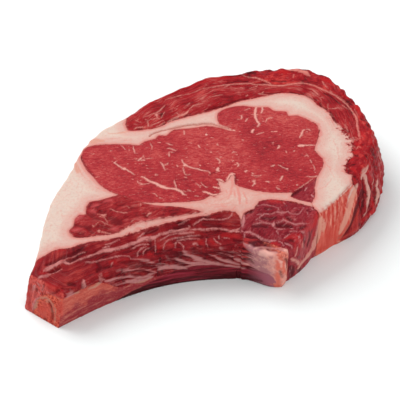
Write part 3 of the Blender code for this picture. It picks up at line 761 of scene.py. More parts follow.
rib_muscle_marks = {"vein": [
    (2.4, [(-107.1, -3.8), (-104.8, -4.2), (-102.4, -5.4), (-100.4, -6.2)]),
    (1.0, [(-101, -6.1), (-97.4, -6.4), (-94.2, -7.2)]),
    (1.4, [(-105.9, -4.8, 23.5), (-106.5, -7.7, 22.6), (-106.9, -8.9, 19.1)]),
    (3.0, [(-102.2, -2.1), (-98.7, -2.5), (-96.3, -2.7), (-93.6, -3.4), (-91.4, -3.9), (-90.4, -5.2),
        (-88.9, -6.7)]),
    (2.2, [(-88.9, -6.7, 25.9), (-86, -7.2, 26.1), (-82.9, -7.3, 26.1), (-78.6, -8.4, 26.3),
        (-75.9, -9.1, 26.3), (-73.2, -9.8, 26.4)]),
    (1.0, [(-90.5, -3.5), (-88.1, -3.7), (-84.9, -4.6), (-81.4, -5), (-78.1, -5.8)]),
    (3.0, [(-73.6, -9.4, 26.3), (-70.1, -9.9, 26.5), (-67.5, -10.9, 26.6), (-64.5, -12.1, 26.5),
        (-61.5, -13.4, 26.5)]),
    (2.8, [(-62.5, -13, 26.5), (-59.2, -13.7, 26.5), (-55.7, -14.4, 26.8), (-52.5, -15.3, 26.9),
        (-49.2, -16.1, 27.3)]), (1.0, [(-69.3, -8.9), (-66.9, -9.1), (-65.3, -9.5)]),
    (3.2, [(-51.8, -15.3), (-48.5, -16.1), (-45.1, -17.8), (-42.1, -19.1)]),
    (1.9, [(-43.1, -18.6), (-39.5, -19.2), (-36.3, -20.2), (-33.2, -21.4), (-30.2, -22.7),
        (-27.3, -24.2), (-24.5, -25.9)]),
    (2.1, [(-25.4, -25.3, 28.6), (-20, -28.8, 28.7), (-16.5, -31.3, 28.6), (-13.3, -33.4, 28.7),
        (-11.5, -34.4, 28.8), (-10.4, -35.7, 28.4), (-8.1, -38.1, 28), (-5.2, -40.5, 27.9),
        (-3.3, -42.4, 27.7)]),
    (1.0, [(-82, -10.7), (-78.7, -12.3), (-75.9, -12.9), (-72.3, -14.1), (-69.2, -15.3), (-65.9, -16),
        (-63.5, -17.2), (-61.3, -18.7), (-60.1, -19.8), (-60.1, -21.5)]),
    (1.0, [(-27.8, -20.4), (-25.6, -21), (-23.3, -21.4), (-21.2, -22.2)]),
    (1.0, [(-22, -25.1), (-20, -25.1), (-17.4, -25.2), (-15.3, -26.1), (-12.1, -28.9), (-9.4, -30.7)]),
    (1.0, [(-9.4, -30.7), (-6.7, -32.4), (-4.6, -33.3), (-2.7, -33.4), (-1, -32.5)]),
    (1.7, [(-24.2, -24.1), (-23.8, -25.3)]), (1.0, [(-51, -14.1), (-48.4, -14.1), (-45.4, -13.6)]),
    (1.0, [(-76.8, -2.9, 28.2), (-73.6, -2.9, 28.5), (-70.5, -3, 28.6)]),
    (1.0, [(-67.2, -7.6), (-63.5, -8.7), (-59, -9.7)]),
    (1.3, [(-3.2, -42.3, 27.8), (-2.4, -44.8, 27.1), (-3.7, -47, 25.9)]),
    (1.2, [(-2.7, -45.2), (-0.1, -47)]), (1.0, [(-20.3, -34.7), (-21.9, -36.9), (-22.3, -39.2)]),
    (1.0, [(-16.8, -37.1), (-16.9, -39.1), (-15.7, -42)]),
    (1.6, [(-28.2, -33.2), (-26.4, -33.9), (-25.8, -35.4)]), (1.0, [(-13.7, -37.5), (-15, -39.2)]),
    (1.2, [(-2.1, -43.9), (-3.6, -46.4), (-5.5, -50.2)]),
    (2.2, [(2.9, -35.3, 33), (1.4, -37.9, 31.4), (-0.6, -39.6, 29.4)]),
    (1.8, [(-6.2, -39.1, 28.2), (-3.9, -40.6, 28.3), (-1.9, -41.4, 28.8)]),
    (1.0, [(-11.3, -46.9, 23.6), (-9.6, -47.2, 25.1), (-5.8, -47.6, 25.4), (-4, -46.9, 25.2)]),
    (1.0, [(-12.3, -40.1), (-9.8, -42.2)]), (1.0, [(-43.2, -20.1), (-44.8, -22.3), (-47, -25.5)]),
    (1.0, [(-41.2, -21.5), (-38, -21.7), (-35.1, -22.1), (-30.9, -23.7), (-26.5, -25.9)]),
    (1.0, [(-42.5, -26.5), (-40.7, -24.5), (-38.1, -23.7), (-34.8, -24.6), (-30.8, -26.3),
        (-26.4, -28.5), (-21.7, -31.1)]), (1.0, [(-36.8, -29.7), (-35.8, -27.7), (-34.3, -27)]),
    (1.0, [(-34.1, -27.2), (-32.8, -29.1), (-32.3, -30.9), (-33.8, -32.4)]),
    (1.0, [(-33.6, -26.6), (-30.3, -28.3), (-26.6, -30.5), (-23.1, -33)]),
    (1.0, [(-56.6, -22.1), (-54.7, -20.3), (-52.2, -19.5), (-49.3, -20)]),
    (1.0, [(-53.5, -23.3), (-51.9, -21.7), (-50.1, -21.2), (-47.8, -21.6)]),
    (1.0, [(-56.9, -16.9), (-52.7, -17.4), (-49.5, -18.4), (-47.2, -19.8)]),
    (1.0, [(-69, -17.8), (-71.5, -19.6)]), (1.0, [(-70.7, -22.2, 23.2), (-71.9, -22.8, 22.2)]),
    (2.6, [(-88, -18.8, 23.6), (-89.3, -20.8, 23.1), (-91.6, -21.1, 21)]),
    (2.6, [(-78.1, -19.9, 23.6), (-80, -21.9, 22.7), (-77.2, -22.2, 20.8)]),
    (1.2, [(-31.1, -24), (-27.4, -26.2), (-23.7, -28.4)]),
], "crease": [
    (1.1, [(-100.6, -4.5), (-98, -5.3), (-94.6, -5.9)]),
    (1.4, [(-90.1, -4.8), (-87, -5.8), (-83.6, -6.4)]),
    (1.6, [(-99.3, 0.4), (-94.7, -1.2), (-90.5, -1.6), (-86.1, -2.6), (-80.3, -3.3)]),
    (1.0, [(-100.6, -17.2, 23.4), (-97.4, -19.8, 23.2), (-94.6, -21, 21.7), (-92.1, -21.1, 21.3),
        (-90.1, -21, 23), (-89.2, -18.7, 23.5)]),
    (1.0, [(-87.9, -21.3, 22.1), (-84.4, -21.7, 20.4), (-81.3, -21.8, 21.1), (-80.1, -21.9, 22)]),
    (1.0, [(-78.3, -22.1, 22.5), (-75.4, -22.4, 21.3), (-73.6, -22.6, 21.6)]),
    (1.8, [(-26.9, -18.1), (-22.6, -19.5), (-17.5, -21.7), (-12.8, -24.3), (-8.2, -27.3)]),
    (1.5, [(-31.2, -20.4), (-26.1, -22.6), (-23.1, -23.9)]),
    (1.5, [(-17.3, -27.8), (-13.7, -31.1), (-10, -34.3)]),
    (1.7, [(-45.7, -14.1), (-41.9, -15.1), (-38.4, -15.7)]),
    (1.3, [(-41.4, -12.5), (-37.1, -13.9), (-32.8, -15.3)]),
    (1.1, [(-32.5, -26), (-28.9, -27.3), (-24.2, -30), (-21, -32.9)]),
    (2.0, [(-8.5, -43.9), (-7.4, -46.1), (-5.8, -47.6)]),
    (1.0, [(-104.9, -13.7, 20.7), (-103, -16.1, 23.2), (-102, -17.3, 23.2)]),
    (1.6, [(-96.4, -16.4), (-93.5, -19.6)]), (1.2, [(-76.2, -13.4), (-76.4, -17.4), (-79.5, -18.3)]),
    (1.2, [(-75.5, -18), (-71.1, -19.9)]), (1.0, [(-45.6, -18.5), (-47.7, -22.4)]),
    (0.9, [(-44, -25.5), (-42, -28.2), (-39, -29.5)]), (1.2, [(-26.7, -35.3), (-24.9, -37.4)]),
], "flush": [
    (3.0, [(-105.5, -10.2, 23), (-104.5, -13.5, 22.6), (-103.3, -17.4, 22.2), (-102.5, -20, 21.7)]),
    (2.4, [(-103.4, -14.6), (-101.6, -18.7)]),
    (1.8, [(-105.2, -8.7), (-103.8, -12.4), (-102.4, -15.1)]),
    (2.0, [(-105.1, -13.9, 19.4), (-104, -18, 18.8)]),
    (2.6, [(-98.3, 6.1), (-102.7, 5.2), (-106.3, 2.5)]), (2.0, [(-104, -0.9), (-102.7, -2.9)]),
    (1.8, [(-90.9, 3.8), (-86.6, 2.5), (-82, 1.8)]),
    (1.6, [(-87.8, -20.3, 23.2), (-84.9, -21.5, 22.4)]),
    (1.8, [(-70.4, -16.9), (-65.8, -19.6), (-61.9, -21.4)]), (2.2, [(-50.6, -23.8), (-49.2, -25.4)]),
    (1.8, [(-43.3, -22.6), (-44, -25.5)]), (2.0, [(-38.3, -24.8), (-37.4, -27.3)]),
    (2.2, [(-12.4, -38.4), (-8.8, -40.8), (-5.7, -43.9)]), (1.6, [(-18.8, -36.3), (-18.7, -39.8)]),
    (1.4, [(-45.3, -15.4), (-43.2, -16)]), (1.6, [(-77.4, -21.7), (-75.4, -22.4)]),
    (1.5, [(-23.5, -33.7), (-23.5, -36.4)]), (2.6, [(-2.4, -49.3), (-0.4, -51.9), (2.3, -54.6)]),
]}
rib_lean = meat("rib_muscle_lean", ("42050C", "7C0E17", "A83732"), wide=1.3, long=9.0, crisp=0.9,
                flecks_and_glints=0.25, threads=0.1, streaky=0.25, veining=0.85, fading=0.5,
                vein="C47E7A", flush="A01519", crease="560912")
for node in ["upper_rib_muscle", "lower_rib_muscle"]:
    piece = fine_copy(node, grain=0.6)
    points, found = mark(piece, rib_muscle_marks, rib_side_marks, sawn_end_marks)
    across = read(soft_inset_map, points)
    ridges = lumps(np.stack([points[:, 0] / 8, across / 1.6, points[:, 2] / 6], axis=1), 1, 2.0)
    rise = 0.35 * ridges + 0.5 * lumps(points, (6, 4, 8), 6.0) - 0.6 * ease(-1.0, 0.3, found["crease"])
    rise += 0.25 * ease(-0.8, 0.4, found["vein"])
    shape(piece, points, rise=rise, out=front_relief(points, found), rounding=1.6)
    follow(piece, points, points[:, 0], across)
    dress(piece, rib_lean)


# The muscles by the spine: small and dark, cut off straight by the butcher on their right, and
# webbed with pale lines that part their short bundles.
spine_muscle_marks = {"vein": [
    (2.8, [(4.4, -33.3), (3.1, -36), (1.5, -38.6), (-0.7, -40.7)]),
    (2.2, [(-2.1, -40.8, 28.2), (-1.7, -43, 28.3)]),
    (1.2, [(-2.2, -44.5), (-3.5, -47.2), (-5.3, -50.4)]),
    (0.9, [(6.9, -43.1), (8.7, -43.3), (10.6, -43.4), (12, -43.4), (14, -45.2), (15.9, -46.2),
        (17.8, -46.4)]), (0.8, [(8, -44.2), (8.8, -46.7), (11, -49.1)]),
    (0.9, [(3.8, -43.6), (5.6, -44.7), (8.3, -46.6), (11, -49.1), (12.2, -50.2)]),
    (2.8, [(12.1, -50.6), (12.9, -51.4)]),
    (1.1, [(14.2, -51.2), (16.8, -52.2), (18.2, -52.1), (19.3, -53.4), (21, -55.6), (22.6, -57.8),
        (24.2, -59.3), (26.3, -60.9), (28.2, -61.9)]), (0.7, [(18.2, -52.1), (18.9, -51.1)]),
    (0.8, [(11.5, -51.2), (12.3, -52.8), (13.1, -54.4), (14.6, -55.1), (17, -56.5)]),
    (0.7, [(13.1, -54.4), (12, -54.9), (12.1, -56.7)]),
    (0.8, [(13.2, -59.6), (16, -59.5), (17.1, -59.8)]), (1.0, [(19, -57.7), (20.1, -58.5)]),
    (0.6, [(18, -58.7), (20.9, -61.1)]), (1.5, [(22.3, -62.7), (24.1, -63.9)]),
    (0.8, [(25.1, -63.6, 28.5), (27.2, -62.9, 25), (26.5, -63.2, 22.5), (25.9, -63.4, 19.2)]),
    (1.5, [(20, -63.5), (20.4, -64.2)]), (0.8, [(9.5, -59.2), (10.7, -61.1), (10.7, -62.9)]),
    (1.3, [(12, -62.2), (12.8, -63.7), (14.2, -65.5)]),
    (0.8, [(10.8, -63.6, 25.6), (10.7, -65.6, 25.1)]),
    (1.4, [(-2.1, -43.5), (0.7, -45.9), (1.6, -48.3), (2.9, -51.1), (4.2, -53.7), (6.2, -56.4),
        (8.7, -58.4)]),
    (0.8, [(11.8, -36.5), (14.7, -38.1), (17.3, -40), (19.3, -42.7), (20.2, -45.1), (19.3, -46.7),
        (16.5, -46.3)]), (1.2, [(17.8, -46.4), (19.3, -48.1), (21, -48.4), (21.1, -49.2)]),
    (0.8, [(25.3, -42.1, 34.4), (25.2, -44.8, 34.8), (24.9, -47, 34.9), (23.3, -48.5, 34.7),
        (23.2, -50, 34.5)]),
    (0.9, [(19.2, -49), (21.3, -48.9), (23.4, -49.8), (23.7, -51.1), (24.5, -52.7), (26.2, -54.1),
        (27.9, -54.4)]), (0.8, [(27.9, -54.4), (30.2, -53.3), (32.1, -52.7)]),
    (0.6, [(26.7, -50), (28.9, -50.6)]), (0.9, [(31.5, -56.1), (30.8, -57.8)]),
    (1.0, [(23.5, -55), (23.8, -56.3)]), (0.6, [(11.1, -42.7), (8.8, -41.3)]),
    (1.0, [(-1, -39.4), (-3, -40.1), (-5.2, -39.6)]),
    (1.2, [(29.1, -43.5), (30.8, -45.7), (32.7, -48.5), (33.7, -50.6), (35.5, -52.8)]),
    (0.9, [(29.2, -45.9), (31, -46.3)]), (1.5, [(34.8, -51.9), (36.8, -52.9), (37.3, -54.8)]),
    (1.0, [(34.7, -55.5), (35.2, -57.4)]), (1.2, [(40.6, -43), (43.1, -41.7)]),
    (1.6, [(41.3, -47.8), (41.3, -49.9)]),
], "crease": [
    (1.0, [(-2.3, -46.5), (0.7, -49.6), (3.2, -53.4), (5.9, -56.9)]),
    (1.3, [(27.4, -62.9, 27.9), (28.6, -62.4, 20.6), (26.7, -63.1, 15.3)]),
    (1.2, [(14.9, -61.9), (16, -63.9)]), (2.0, [(13.3, -52.3), (17, -54.6), (20.2, -57.4)]),
    (2.2, [(4.4, -35.7), (7.8, -38.3)]), (1.6, [(9.8, -44.5), (12.7, -47.8), (15.6, -49.3)]),
    (1.4, [(14.3, -41.3), (17.3, -43.6)]), (1.2, [(20.6, -51.6), (22.1, -55)]),
    (1.5, [(31.8, -41.8), (35.2, -41.8), (38.9, -41.6)]),
    (1.6, [(3.1, -44.6), (6.5, -47.2), (9.4, -50.4)]), (1.2, [(22.9, -61), (25.8, -62.4)]),
    (1.4, [(22.9, -63.6, 29.8), (23.7, -64, 23.4), (23.3, -64.1, 17.4)]),
], "flush": [
    (3.0, [(32.6, -60.7, 33.9), (32.9, -60.7, 29), (30.1, -61.8, 26.9), (25.1, -62.5, 31.3)]),
    (3.0, [(14.2, -60.1, 27.6), (17.1, -61.7, 27.9), (20.2, -63.7, 28.4), (23.4, -64.1, 27.6)]),
    (2.6, [(15.7, -63.4, 26.7), (18.4, -64.3, 27.4), (22.6, -64.3, 26.7)]),
    (2.6, [(-3.6, -48.2), (-1, -51), (2.3, -54.6), (5.9, -58.6), (8.2, -60.9)]),
    (2.0, [(16.1, -64.7, 26.3), (15.8, -65.4, 21.7)]),
    (1.6, [(20.2, -64.8, 26.2), (20.5, -64.7, 21.3)]), (1.8, [(27.8, -61.6, 32.8), (31, -61.4, 29.2)]),
    (2.0, [(19.1, -37.8), (22.3, -40.7), (25.6, -43.5)]), (1.6, [(34.1, -60.8, 21.4), (33, -60.7, 18)]),
]}
spine_side_marks = {"sheet": [
    (5.4, [(68.4, -53.5, 31.6), (64.2, -55.7, 29.6), (60.5, -58, 25.8), (57.1, -59.6, 20.5),
        (54.4, -60.5, 15), (52.2, -60.7, 8.6)]),
    (1.2, [(47.9, -59, 33.3), (48.5, -59.5, 26.4), (48.3, -60, 19.9), (48.1, -60.2, 16.2)]),
    (0.8, [(51.5, -58.4, 31.5), (50.8, -59.4, 25), (49.9, -60, 18.1)]),
    (1.0, [(43.9, -59.5, 34.6), (44, -60.2, 31.2)]),
    (2.2, [(82.5, -46, 33.9), (79.4, -48, 33.4), (75.5, -50, 33.3), (73.7, -51.6, 31.7)]),
    (2.0, [(79.2, -47.3, 34.5), (76, -49.4, 34.1)]),
    (4.2, [(76.7, -49.6, 33.1), (77.1, -51.8, 27.6), (76.9, -54, 22.4), (75.5, -56.3, 17.2),
        (72.7, -58.1, 14.8)]), (1.8, [(73.8, -57.7, 14.6), (72, -58.8, 12.5), (69.9, -59.7, 10.6)]),
    (3.8, [(88.8, -48.2, 19.6), (87.4, -51, 14), (84.8, -53.1, 10.8), (81.8, -55.1, 8.6)]),
    (0.9, [(84.2, -49.6, 24.1), (82.1, -51.5, 22.1), (80.5, -53.1, 19.6)]),
    (1.0, [(95.1, -43.7, 18.8), (93.1, -47, 13.9)]),
    (1.2, [(96.9, -37.6, 29.6), (97.6, -39, 25.6), (97.9, -40.5, 21.1)]),
    (4.8, [(36.8, -60.9, 31.5), (36.8, -60.9, 26.8), (36.4, -60.9, 21.6), (35.5, -60.7, 16.4),
        (34.3, -60.8, 12.5), (32.6, -60.7, 8.7), (28.8, -62.4, 8.5), (26, -63.3, 7.1),
        (22.4, -64.3, 7), (19.2, -64.9, 5.6)]),
    (2.8, [(38.3, -60.9, 29), (39.4, -60.9, 23.7), (39.1, -60.9, 18.3)]),
    (2.2, [(29.7, -62, 10), (25.8, -63.4, 8.8), (23.3, -64.1, 7.1)]),
    (2.6, [(13.1, -65.7, 17.4), (17.1, -65.2, 12.8), (20.7, -64.6, 6.7)]),
    (1.6, [(18, -65.1, 24), (17.5, -65.2, 19.7), (16.1, -65.4, 16.7)]),
    (1.2, [(21.9, -64.4, 24.1), (22.4, -64.3, 18.2)]),
    (1.0, [(46.3, -60.4, 0.2), (40.3, -60.9, 0.9), (34.7, -60.9, 1.8)]),
    (1.8, [(51.2, -60.7, 3.1), (54.1, -60.6, 0.5), (56.9, -60.8, 0.5)]),
], "crease": [
    (4.4, [(12.7, -65.7, 11.3), (15.3, -65.4, 5.3), (14.8, -65.5, 1.6)]),
    (3.4, [(19.3, -64.9, 4.7), (22, -64.4, 0.4)]),
    (2.2, [(31.5, -61.1, 24), (28.5, -62.5, 21.4), (26.6, -63.1, 16.1)]),
    (1.4, [(18.6, -65, 14.9), (21.3, -64.5, 11.2)]),
    (3.0, [(71.5, -54.8, 26.2), (68.3, -57.3, 22.3), (64, -59.5, 17.9), (60.1, -60.8, 12.6),
        (56.3, -61.2, 7.2)]),
    (1.6, [(75, -51.4, 30.8), (73.1, -54.2, 26.3), (70.7, -56.6, 21.8), (70, -58.5, 16.6),
        (66, -60.1, 14.1)]),
    (1.4, [(80.4, -51.9, 23.4), (78.3, -54.5, 18.8), (77.2, -56.4, 14.7), (73.6, -58.5, 10.6)]),
    (1.6, [(60.6, -60.2, 16.5), (59, -60.9, 11.7), (57, -61.2, 7.7)]),
    (1.6, [(65.9, -60.9, 8.4), (67.8, -60.7, 4)]),
    (1.2, [(87.4, -45.3, 29.1), (86.9, -48.2, 23.1), (84.3, -50.8, 20.3)]),
    (1.2, [(74.5, -58.6, 7.7), (79.2, -56.6, 8.1)]),
    (1.6, [(51.7, -60.8, 5), (54.4, -61.1, 5.1), (57, -61.2, 6.9)]),
    (1.3, [(78.2, -50.9, 28.6), (78.9, -52.3, 24.6), (79, -53.5, 20.8)]),
], "flush": [
    (3.8, [(34.7, -60.6, 34.4), (34.1, -60.8, 30.7), (32.8, -60.7, 26)]),
    (3.0, [(44.6, -60.3, 18.5), (44.2, -60.5, 12.5), (44, -60.6, 5.5)]),
    (3.0, [(42.6, -60.7, 3.2), (38, -60.9, 4.6)]), (2.4, [(39.4, -60.9, 33), (41.5, -60.7, 27)]),
    (1.6, [(92.9, -47.4, 12.6), (91.1, -49.4, 9), (88.4, -51.8, 6), (83.8, -54.6, 5.7)]),
    (2.0, [(54, -60.9, 3.2), (56.6, -61.2, 3.9), (61.3, -61.5, 5.3), (65.8, -61.3, 5.5)]),
    (1.8, [(67.5, -60.7, 8.1), (73.4, -59.1, 7.2), (79.1, -56.9, 6), (84.3, -54.2, 5.6)]),
    (1.6, [(61.9, -59.1, 20.4), (62, -60.4, 15.1), (60.5, -61.1, 9.5)]),
    (1.6, [(65.4, -58.2, 21.5), (65.2, -60, 15.2), (63.5, -60.9, 10.6)]),
    (2.2, [(39.4, -60, 34.5), (39, -60.9, 29.4), (38, -60.9, 24.6)]),
    (1.8, [(43, -59.8, 34.6), (43, -60.4, 28.1), (41.7, -60.7, 23.7)]),
    (1.4, [(46.3, -59.2, 34.4), (46, -59.7, 28.8)]),
    (2.6, [(61.1, -55.1, 34), (57.4, -57.5, 29.6), (53.9, -59.3, 23.8), (51.3, -60.1, 17.4)]),
    (1.8, [(51.5, -58.2, 32.8), (50, -59.5, 24.7)]),
    (1.6, [(57.1, -56.5, 33.6), (56.3, -58.1, 28.4), (55.1, -59, 25.2)]),
    (1.6, [(53.5, -57.4, 34.1), (52.9, -59, 26.5), (51.3, -59.7, 21)]),
    (1.4, [(49.7, -58.6, 33.4), (49.7, -59.6, 24.2), (48.4, -60.1, 18.3)]),
    (1.3, [(39.5, -60.9, 32.2), (41.6, -60.7, 24.5)]),
    (1.0, [(46.2, -59.5, 32.4), (47.4, -59.9, 23.5)]), (1.4, [(79.9, -54.7, 15.7), (80, -55.8, 10.2)]),
]}
chine_lean = meat("chine_lean", ("560C18", "821A26", "A43A3E"), wide=1.2, long=3.0, flecks_and_glints=0.4,
                  threads=0.2, vein="C47C7C", flush="B01C1E", sheet="CC8C80")
for node in ["chine_muscle", "corner_muscle"]:
    piece = fine_copy(node, grain=0.6)
    points, found = mark(piece, spine_muscle_marks, spine_side_marks)
    rise = 0.35 * lumps(points, (4, 4, 12), 3.0) - 0.55 * ease(-2.2, 0.2, found["vein"])
    rise -= 0.5 * ease(-1.0, 0.3, found["crease"])
    out = 0.6 * lumps(points, (5, 5, 9), 4.0) + 0.5 * ease(-1, 0.3, found["sheet"])
    shape(piece, points, rise=rise, out=out, rounding=1.8)
    raised = 0.12 if node == "corner_muscle" else 0.1 * ease(3, 0, read(inset_map, points))
    follow(piece, points, points[:, 0], points[:, 1], tone=raised)
    dress(piece, chine_lean)


# The eye, the long muscle of the back: fine-grained and rosy, and flat where the knife went
# through it, with sparse threads of marbling.
eye_marks = {"vein": [
    (1.2, [(-29.7, 36.5), (-31.9, 36.3), (-31.3, 33.2), (-30.6, 30.2), (-29.3, 27.2), (-28.5, 24.5),
        (-28, 21.2)]), (2.4, [(-30.4, 29.5), (-29.7, 28)]),
    (1.9, [(-26.1, 18.1), (-25.4, 16.2), (-25, 13.9), (-24.2, 11.2), (-22.9, 8.3), (-21.8, 5),
        (-20.1, 1.8), (-18, -0.1), (-16.2, -2.1), (-15.2, -4.6), (-15.2, -7.4), (-14.5, -8.3)]),
    (2.5, [(-23.1, 7.9), (-21.8, 5), (-20.4, 2.2)]),
    (0.8, [(-29.7, 16.7), (-29.9, 14.5), (-28.7, 12.4), (-26.3, 11), (-24.4, 10.9)]),
    (1.0, [(-13.5, 4.4), (-14.6, 1.9), (-15.5, -0.3), (-15.9, -1.8)]),
    (0.9, [(-16, 40.9), (-17.1, 38.2), (-18.7, 34.9)]),
    (0.6, [(-20.4, 46.5), (-21, 43.4), (-20.7, 40.9)]),
    (1.5, [(-20.6, 29.1), (-18.8, 29.7), (-17.5, 29.7)]),
    (0.6, [(-17.7, 28.4), (-15.1, 27.3), (-12.6, 26)]), (0.6, [(-15.6, 31.4), (-16.6, 29)]),
    (1.1, [(-11.3, 21), (-11.3, 19), (-12.3, 15.8), (-13.2, 13.5)]),
    (1.0, [(-11.5, 17.8), (-9.3, 17.1), (-8.2, 17.7)]), (1.1, [(-19.2, 14.6), (-18.1, 13.3)]),
    (0.8, [(-28.3, 4.3), (-27.6, 2.5), (-27.5, 0.7)]), (0.8, [(-27.2, -0.8), (-25.6, -2.2)]),
    (1.0, [(0.5, 32), (1.5, 29.5), (2.6, 28.2)]),
    (1.1, [(-2.1, 27.4), (-0.5, 26.7), (0.2, 24.7), (1.1, 23.1)]), (0.9, [(-2.6, 24.7), (-1, 23)]),
    (1.1, [(-3.1, 24), (-4.7, 21.2)]), (0.6, [(-6.5, 37.8), (-7.3, 34.7), (-8.8, 32.5)]),
    (1.4, [(-0.5, 15.1), (-1.2, 12.7), (-1.3, 10.2), (-0.4, 7.6), (1.4, 5.3), (2.9, 2.7), (4.7, 0.5),
        (6.2, -1.2)]), (2.2, [(-2.4, 11), (-0.8, 10.4)]), (1.1, [(6.1, -1.4), (5.7, -2.9)]),
    (0.8, [(-3.3, 10.2), (-4.9, 7.4), (-5.7, 5), (-5.5, 3.4)]), (1.0, [(-4.8, 3.4), (-3.4, 2.9)]),
    (1.0, [(-7.5, 3.4), (-6.6, 1.8)]), (1.1, [(15.8, 5.3), (16.2, 3), (15.5, 1.6), (14.3, 0.5)]),
    (2.0, [(12.4, -1.5), (10.6, -3.1), (11.3, -4)]), (2.2, [(23.1, 24.8), (22.6, 23.5)]),
    (1.1, [(14.8, 34.6), (12.8, 31.4)]), (1.1, [(13.9, 19.8), (13.4, 17.1)]),
    (1.1, [(16.2, 11), (16.2, 10)]), (1.4, [(5, 6.1), (5, 5.1)]), (1.0, [(23.3, 14), (22.5, 12.5)]),
    (1.2, [(-5.1, 13.5), (-5.6, 11.8)]), (0.8, [(25.5, 3.3), (26.9, 3.3), (27.5, 2.3)]),
    (1.2, [(22.9, -4.7), (22.9, -6.6), (21.5, -7.5)]), (1.6, [(37.4, 18.8), (38.2, 17.4)]),
    (1.1, [(36.5, 8.7), (37.4, 8)]), (1.4, [(22.2, -13), (23.8, -12.7)]),
    (1.1, [(24.5, -15.9), (25.2, -17.3)]),
    (0.8, [(23.4, -16.9), (24.7, -18.9), (26.4, -20.2), (28.2, -20.6)]),
    (1.2, [(21.3, -20.6), (21.7, -22.3), (20.9, -23.5), (19.1, -23.9)]),
    (0.8, [(-2.4, -5.5), (-2.6, -7.6), (-2.3, -10.1), (-1.2, -10.4)]),
    (0.6, [(-4.9, -4.3), (-4.9, -6.1), (-5.3, -8.6)]), (0.9, [(-11.6, -6), (-10.7, -7.6)]),
    (0.9, [(-10.9, -11.7), (-9.3, -13.2)]),
    (1.9, [(62.1, 28), (58.7, 25), (55.5, 21.3), (53.7, 18), (52.8, 14.9), (52.2, 13.3), (50.2, 12.1)]),
    (0.9, [(53.9, 22.9), (56.9, 20.3)]), (2.0, [(44.7, 9.8), (45.9, 11.1), (47.3, 11.6)]),
    (1.5, [(64.6, 26.5), (61.9, 22.5), (58.8, 20)]), (1.1, [(48.9, 25.9), (47.8, 23.5), (46.3, 22.5)]),
    (0.8, [(44.7, 24.2), (46.1, 23.2)]), (1.1, [(47.3, 20), (50.3, 21.1)]),
    (0.6, [(52.8, 28.3), (56.7, 27.6)]), (1.0, [(56.3, 12.9), (58.6, 14), (60.3, 14.4), (62.5, 13.5)]),
    (1.0, [(45.4, 7.2), (48, 6.9), (50.4, 6.2)]),
    (1.4, [(70.7, -5.5), (69.4, -5.4), (67.6, -6.7), (65.6, -8.3), (63.8, -9.1)]),
    (1.0, [(71.4, -5.6), (72.9, -6.5), (73.1, -8)]), (2.6, [(59, -13.8), (60.9, -15), (62.2, -15.3)]),
    (1.4, [(61.7, -15), (64.2, -16.4), (66.2, -17.5), (67.6, -18.5)]),
    (1.5, [(48.1, -9.1), (49.8, -8.3), (50.5, -7.3)]), (0.9, [(48.4, -3.7), (49.5, -4)]),
    (1.0, [(50.9, -13.2), (50.1, -14.6)]), (1.1, [(54.1, -15.9), (55.2, -16.3)]),
    (0.9, [(56.6, -22.6), (58.6, -22.4), (58.2, -24.2)]),
    (1.4, [(36.4, -18.1), (37.5, -18.5), (38.9, -18.5)]),
    (0.9, [(40.3, -19.5), (41.1, -21.1), (41.3, -22.7), (41.9, -24.6)]),
    (1.5, [(41.6, -24.9), (43, -24.9)]), (1.4, [(36.9, -27.8), (34.8, -29.2), (33.4, -30)]),
    (1.2, [(27, -25.8), (28.5, -27.4)]), (0.9, [(29, -32.1), (29, -33.9), (29.5, -35)]),
    (1.1, [(39, -37.5), (39.6, -38.2)]),
    (1.0, [(47.8, -35.7), (50, -37.5), (52.2, -38.2), (54.3, -39.2)]),
    (0.8, [(57.4, -26.6), (56.8, -29.1)]), (0.8, [(56.2, -30.6), (54.8, -34.2)]),
    (0.6, [(35.8, -40.2), (38.8, -40.1), (41.8, -39.8), (45.7, -39.3), (49.8, -38.6)]),
    (1.8, [(5.9, -8.1, 34.7), (7.8, -10.2, 34.5), (8.2, -12.4, 34.4)]),
    (1.6, [(1.1, -11.9), (3.2, -14.5), (4.4, -16.6)]),
    (1.8, [(-5.6, -11.8), (-3.6, -14.6), (-2.1, -17.1), (0.6, -18.1)]),
    (1.4, [(4.3, -13), (6.7, -14.4)]),
    (1.8, [(8.9, -14.2), (11.6, -11.1), (13.9, -9.8), (16.1, -9.2), (17, -10.8)]),
    (2.0, [(15.9, -9.4, 34.2), (15.2, -12.2, 34.2), (15.6, -12.2, 31.2)]),
], "crease": [
    (0.9, [(11.6, -12, 34.4), (13.1, -10.7, 34.5)]),
    (1.2, [(16.3, -11.6), (14.9, -14.5), (13.5, -16.4)]),
    (0.3, [(-42.4, 54.7), (-43.8, 49.8), (-45, 44.9), (-45.6, 39.9), (-45.4, 35.2)]),
    (0.6, [(8.2, -3.2), (5.2, -3.5)]),
]}
EYE_TONES = [  # an x, a y and a radius in mm, and how much lighter it is there
    (26, 14, 13, 0.16), (67, 10, 10, 0.16), (73, -2, 8, 0.1), (40, -2, 8, -0.16), (7, -15, 9, -0.12),
    (44, -32, 9, -0.08), (-30, 3, 10, -0.08)]
eye_lean = meat("eye_muscle_lean", ("841A23", "A4292F", "C25650"), wide=0.7, long=2.2, patchy=0.6,
                crisp=1.4, flecks_and_glints=0.85, threads=0.0, border_shade=0.25, fading=1.0,
                vein="E0A094", crease="6E141C")
eye = fine_copy("eye_muscle")
points, found = mark(eye, eye_marks)
tone = sum(amount * np.exp(-((points[:, 0] - x) ** 2 + (points[:, 1] - y) ** 2) / (2 * r * r))
           for x, y, r, amount in EYE_TONES)
rise = 0.22 * lumps(points, (13, 13, 40), 1.0) + 0.12 * lumps(points, (3, 3, 20), 5.0)
rise += 0.1 * ease(-0.6, 0.3, found["vein"])
shape(eye, points, rise=rise, out=0.4 * lumps(points, (9, 9, 20), 2.0))
follow(eye, points, points[:, :2] @ LONG_WAY, points[:, :2] @ SHORT_WAY, tone=tone)
dress(eye, eye_lean)


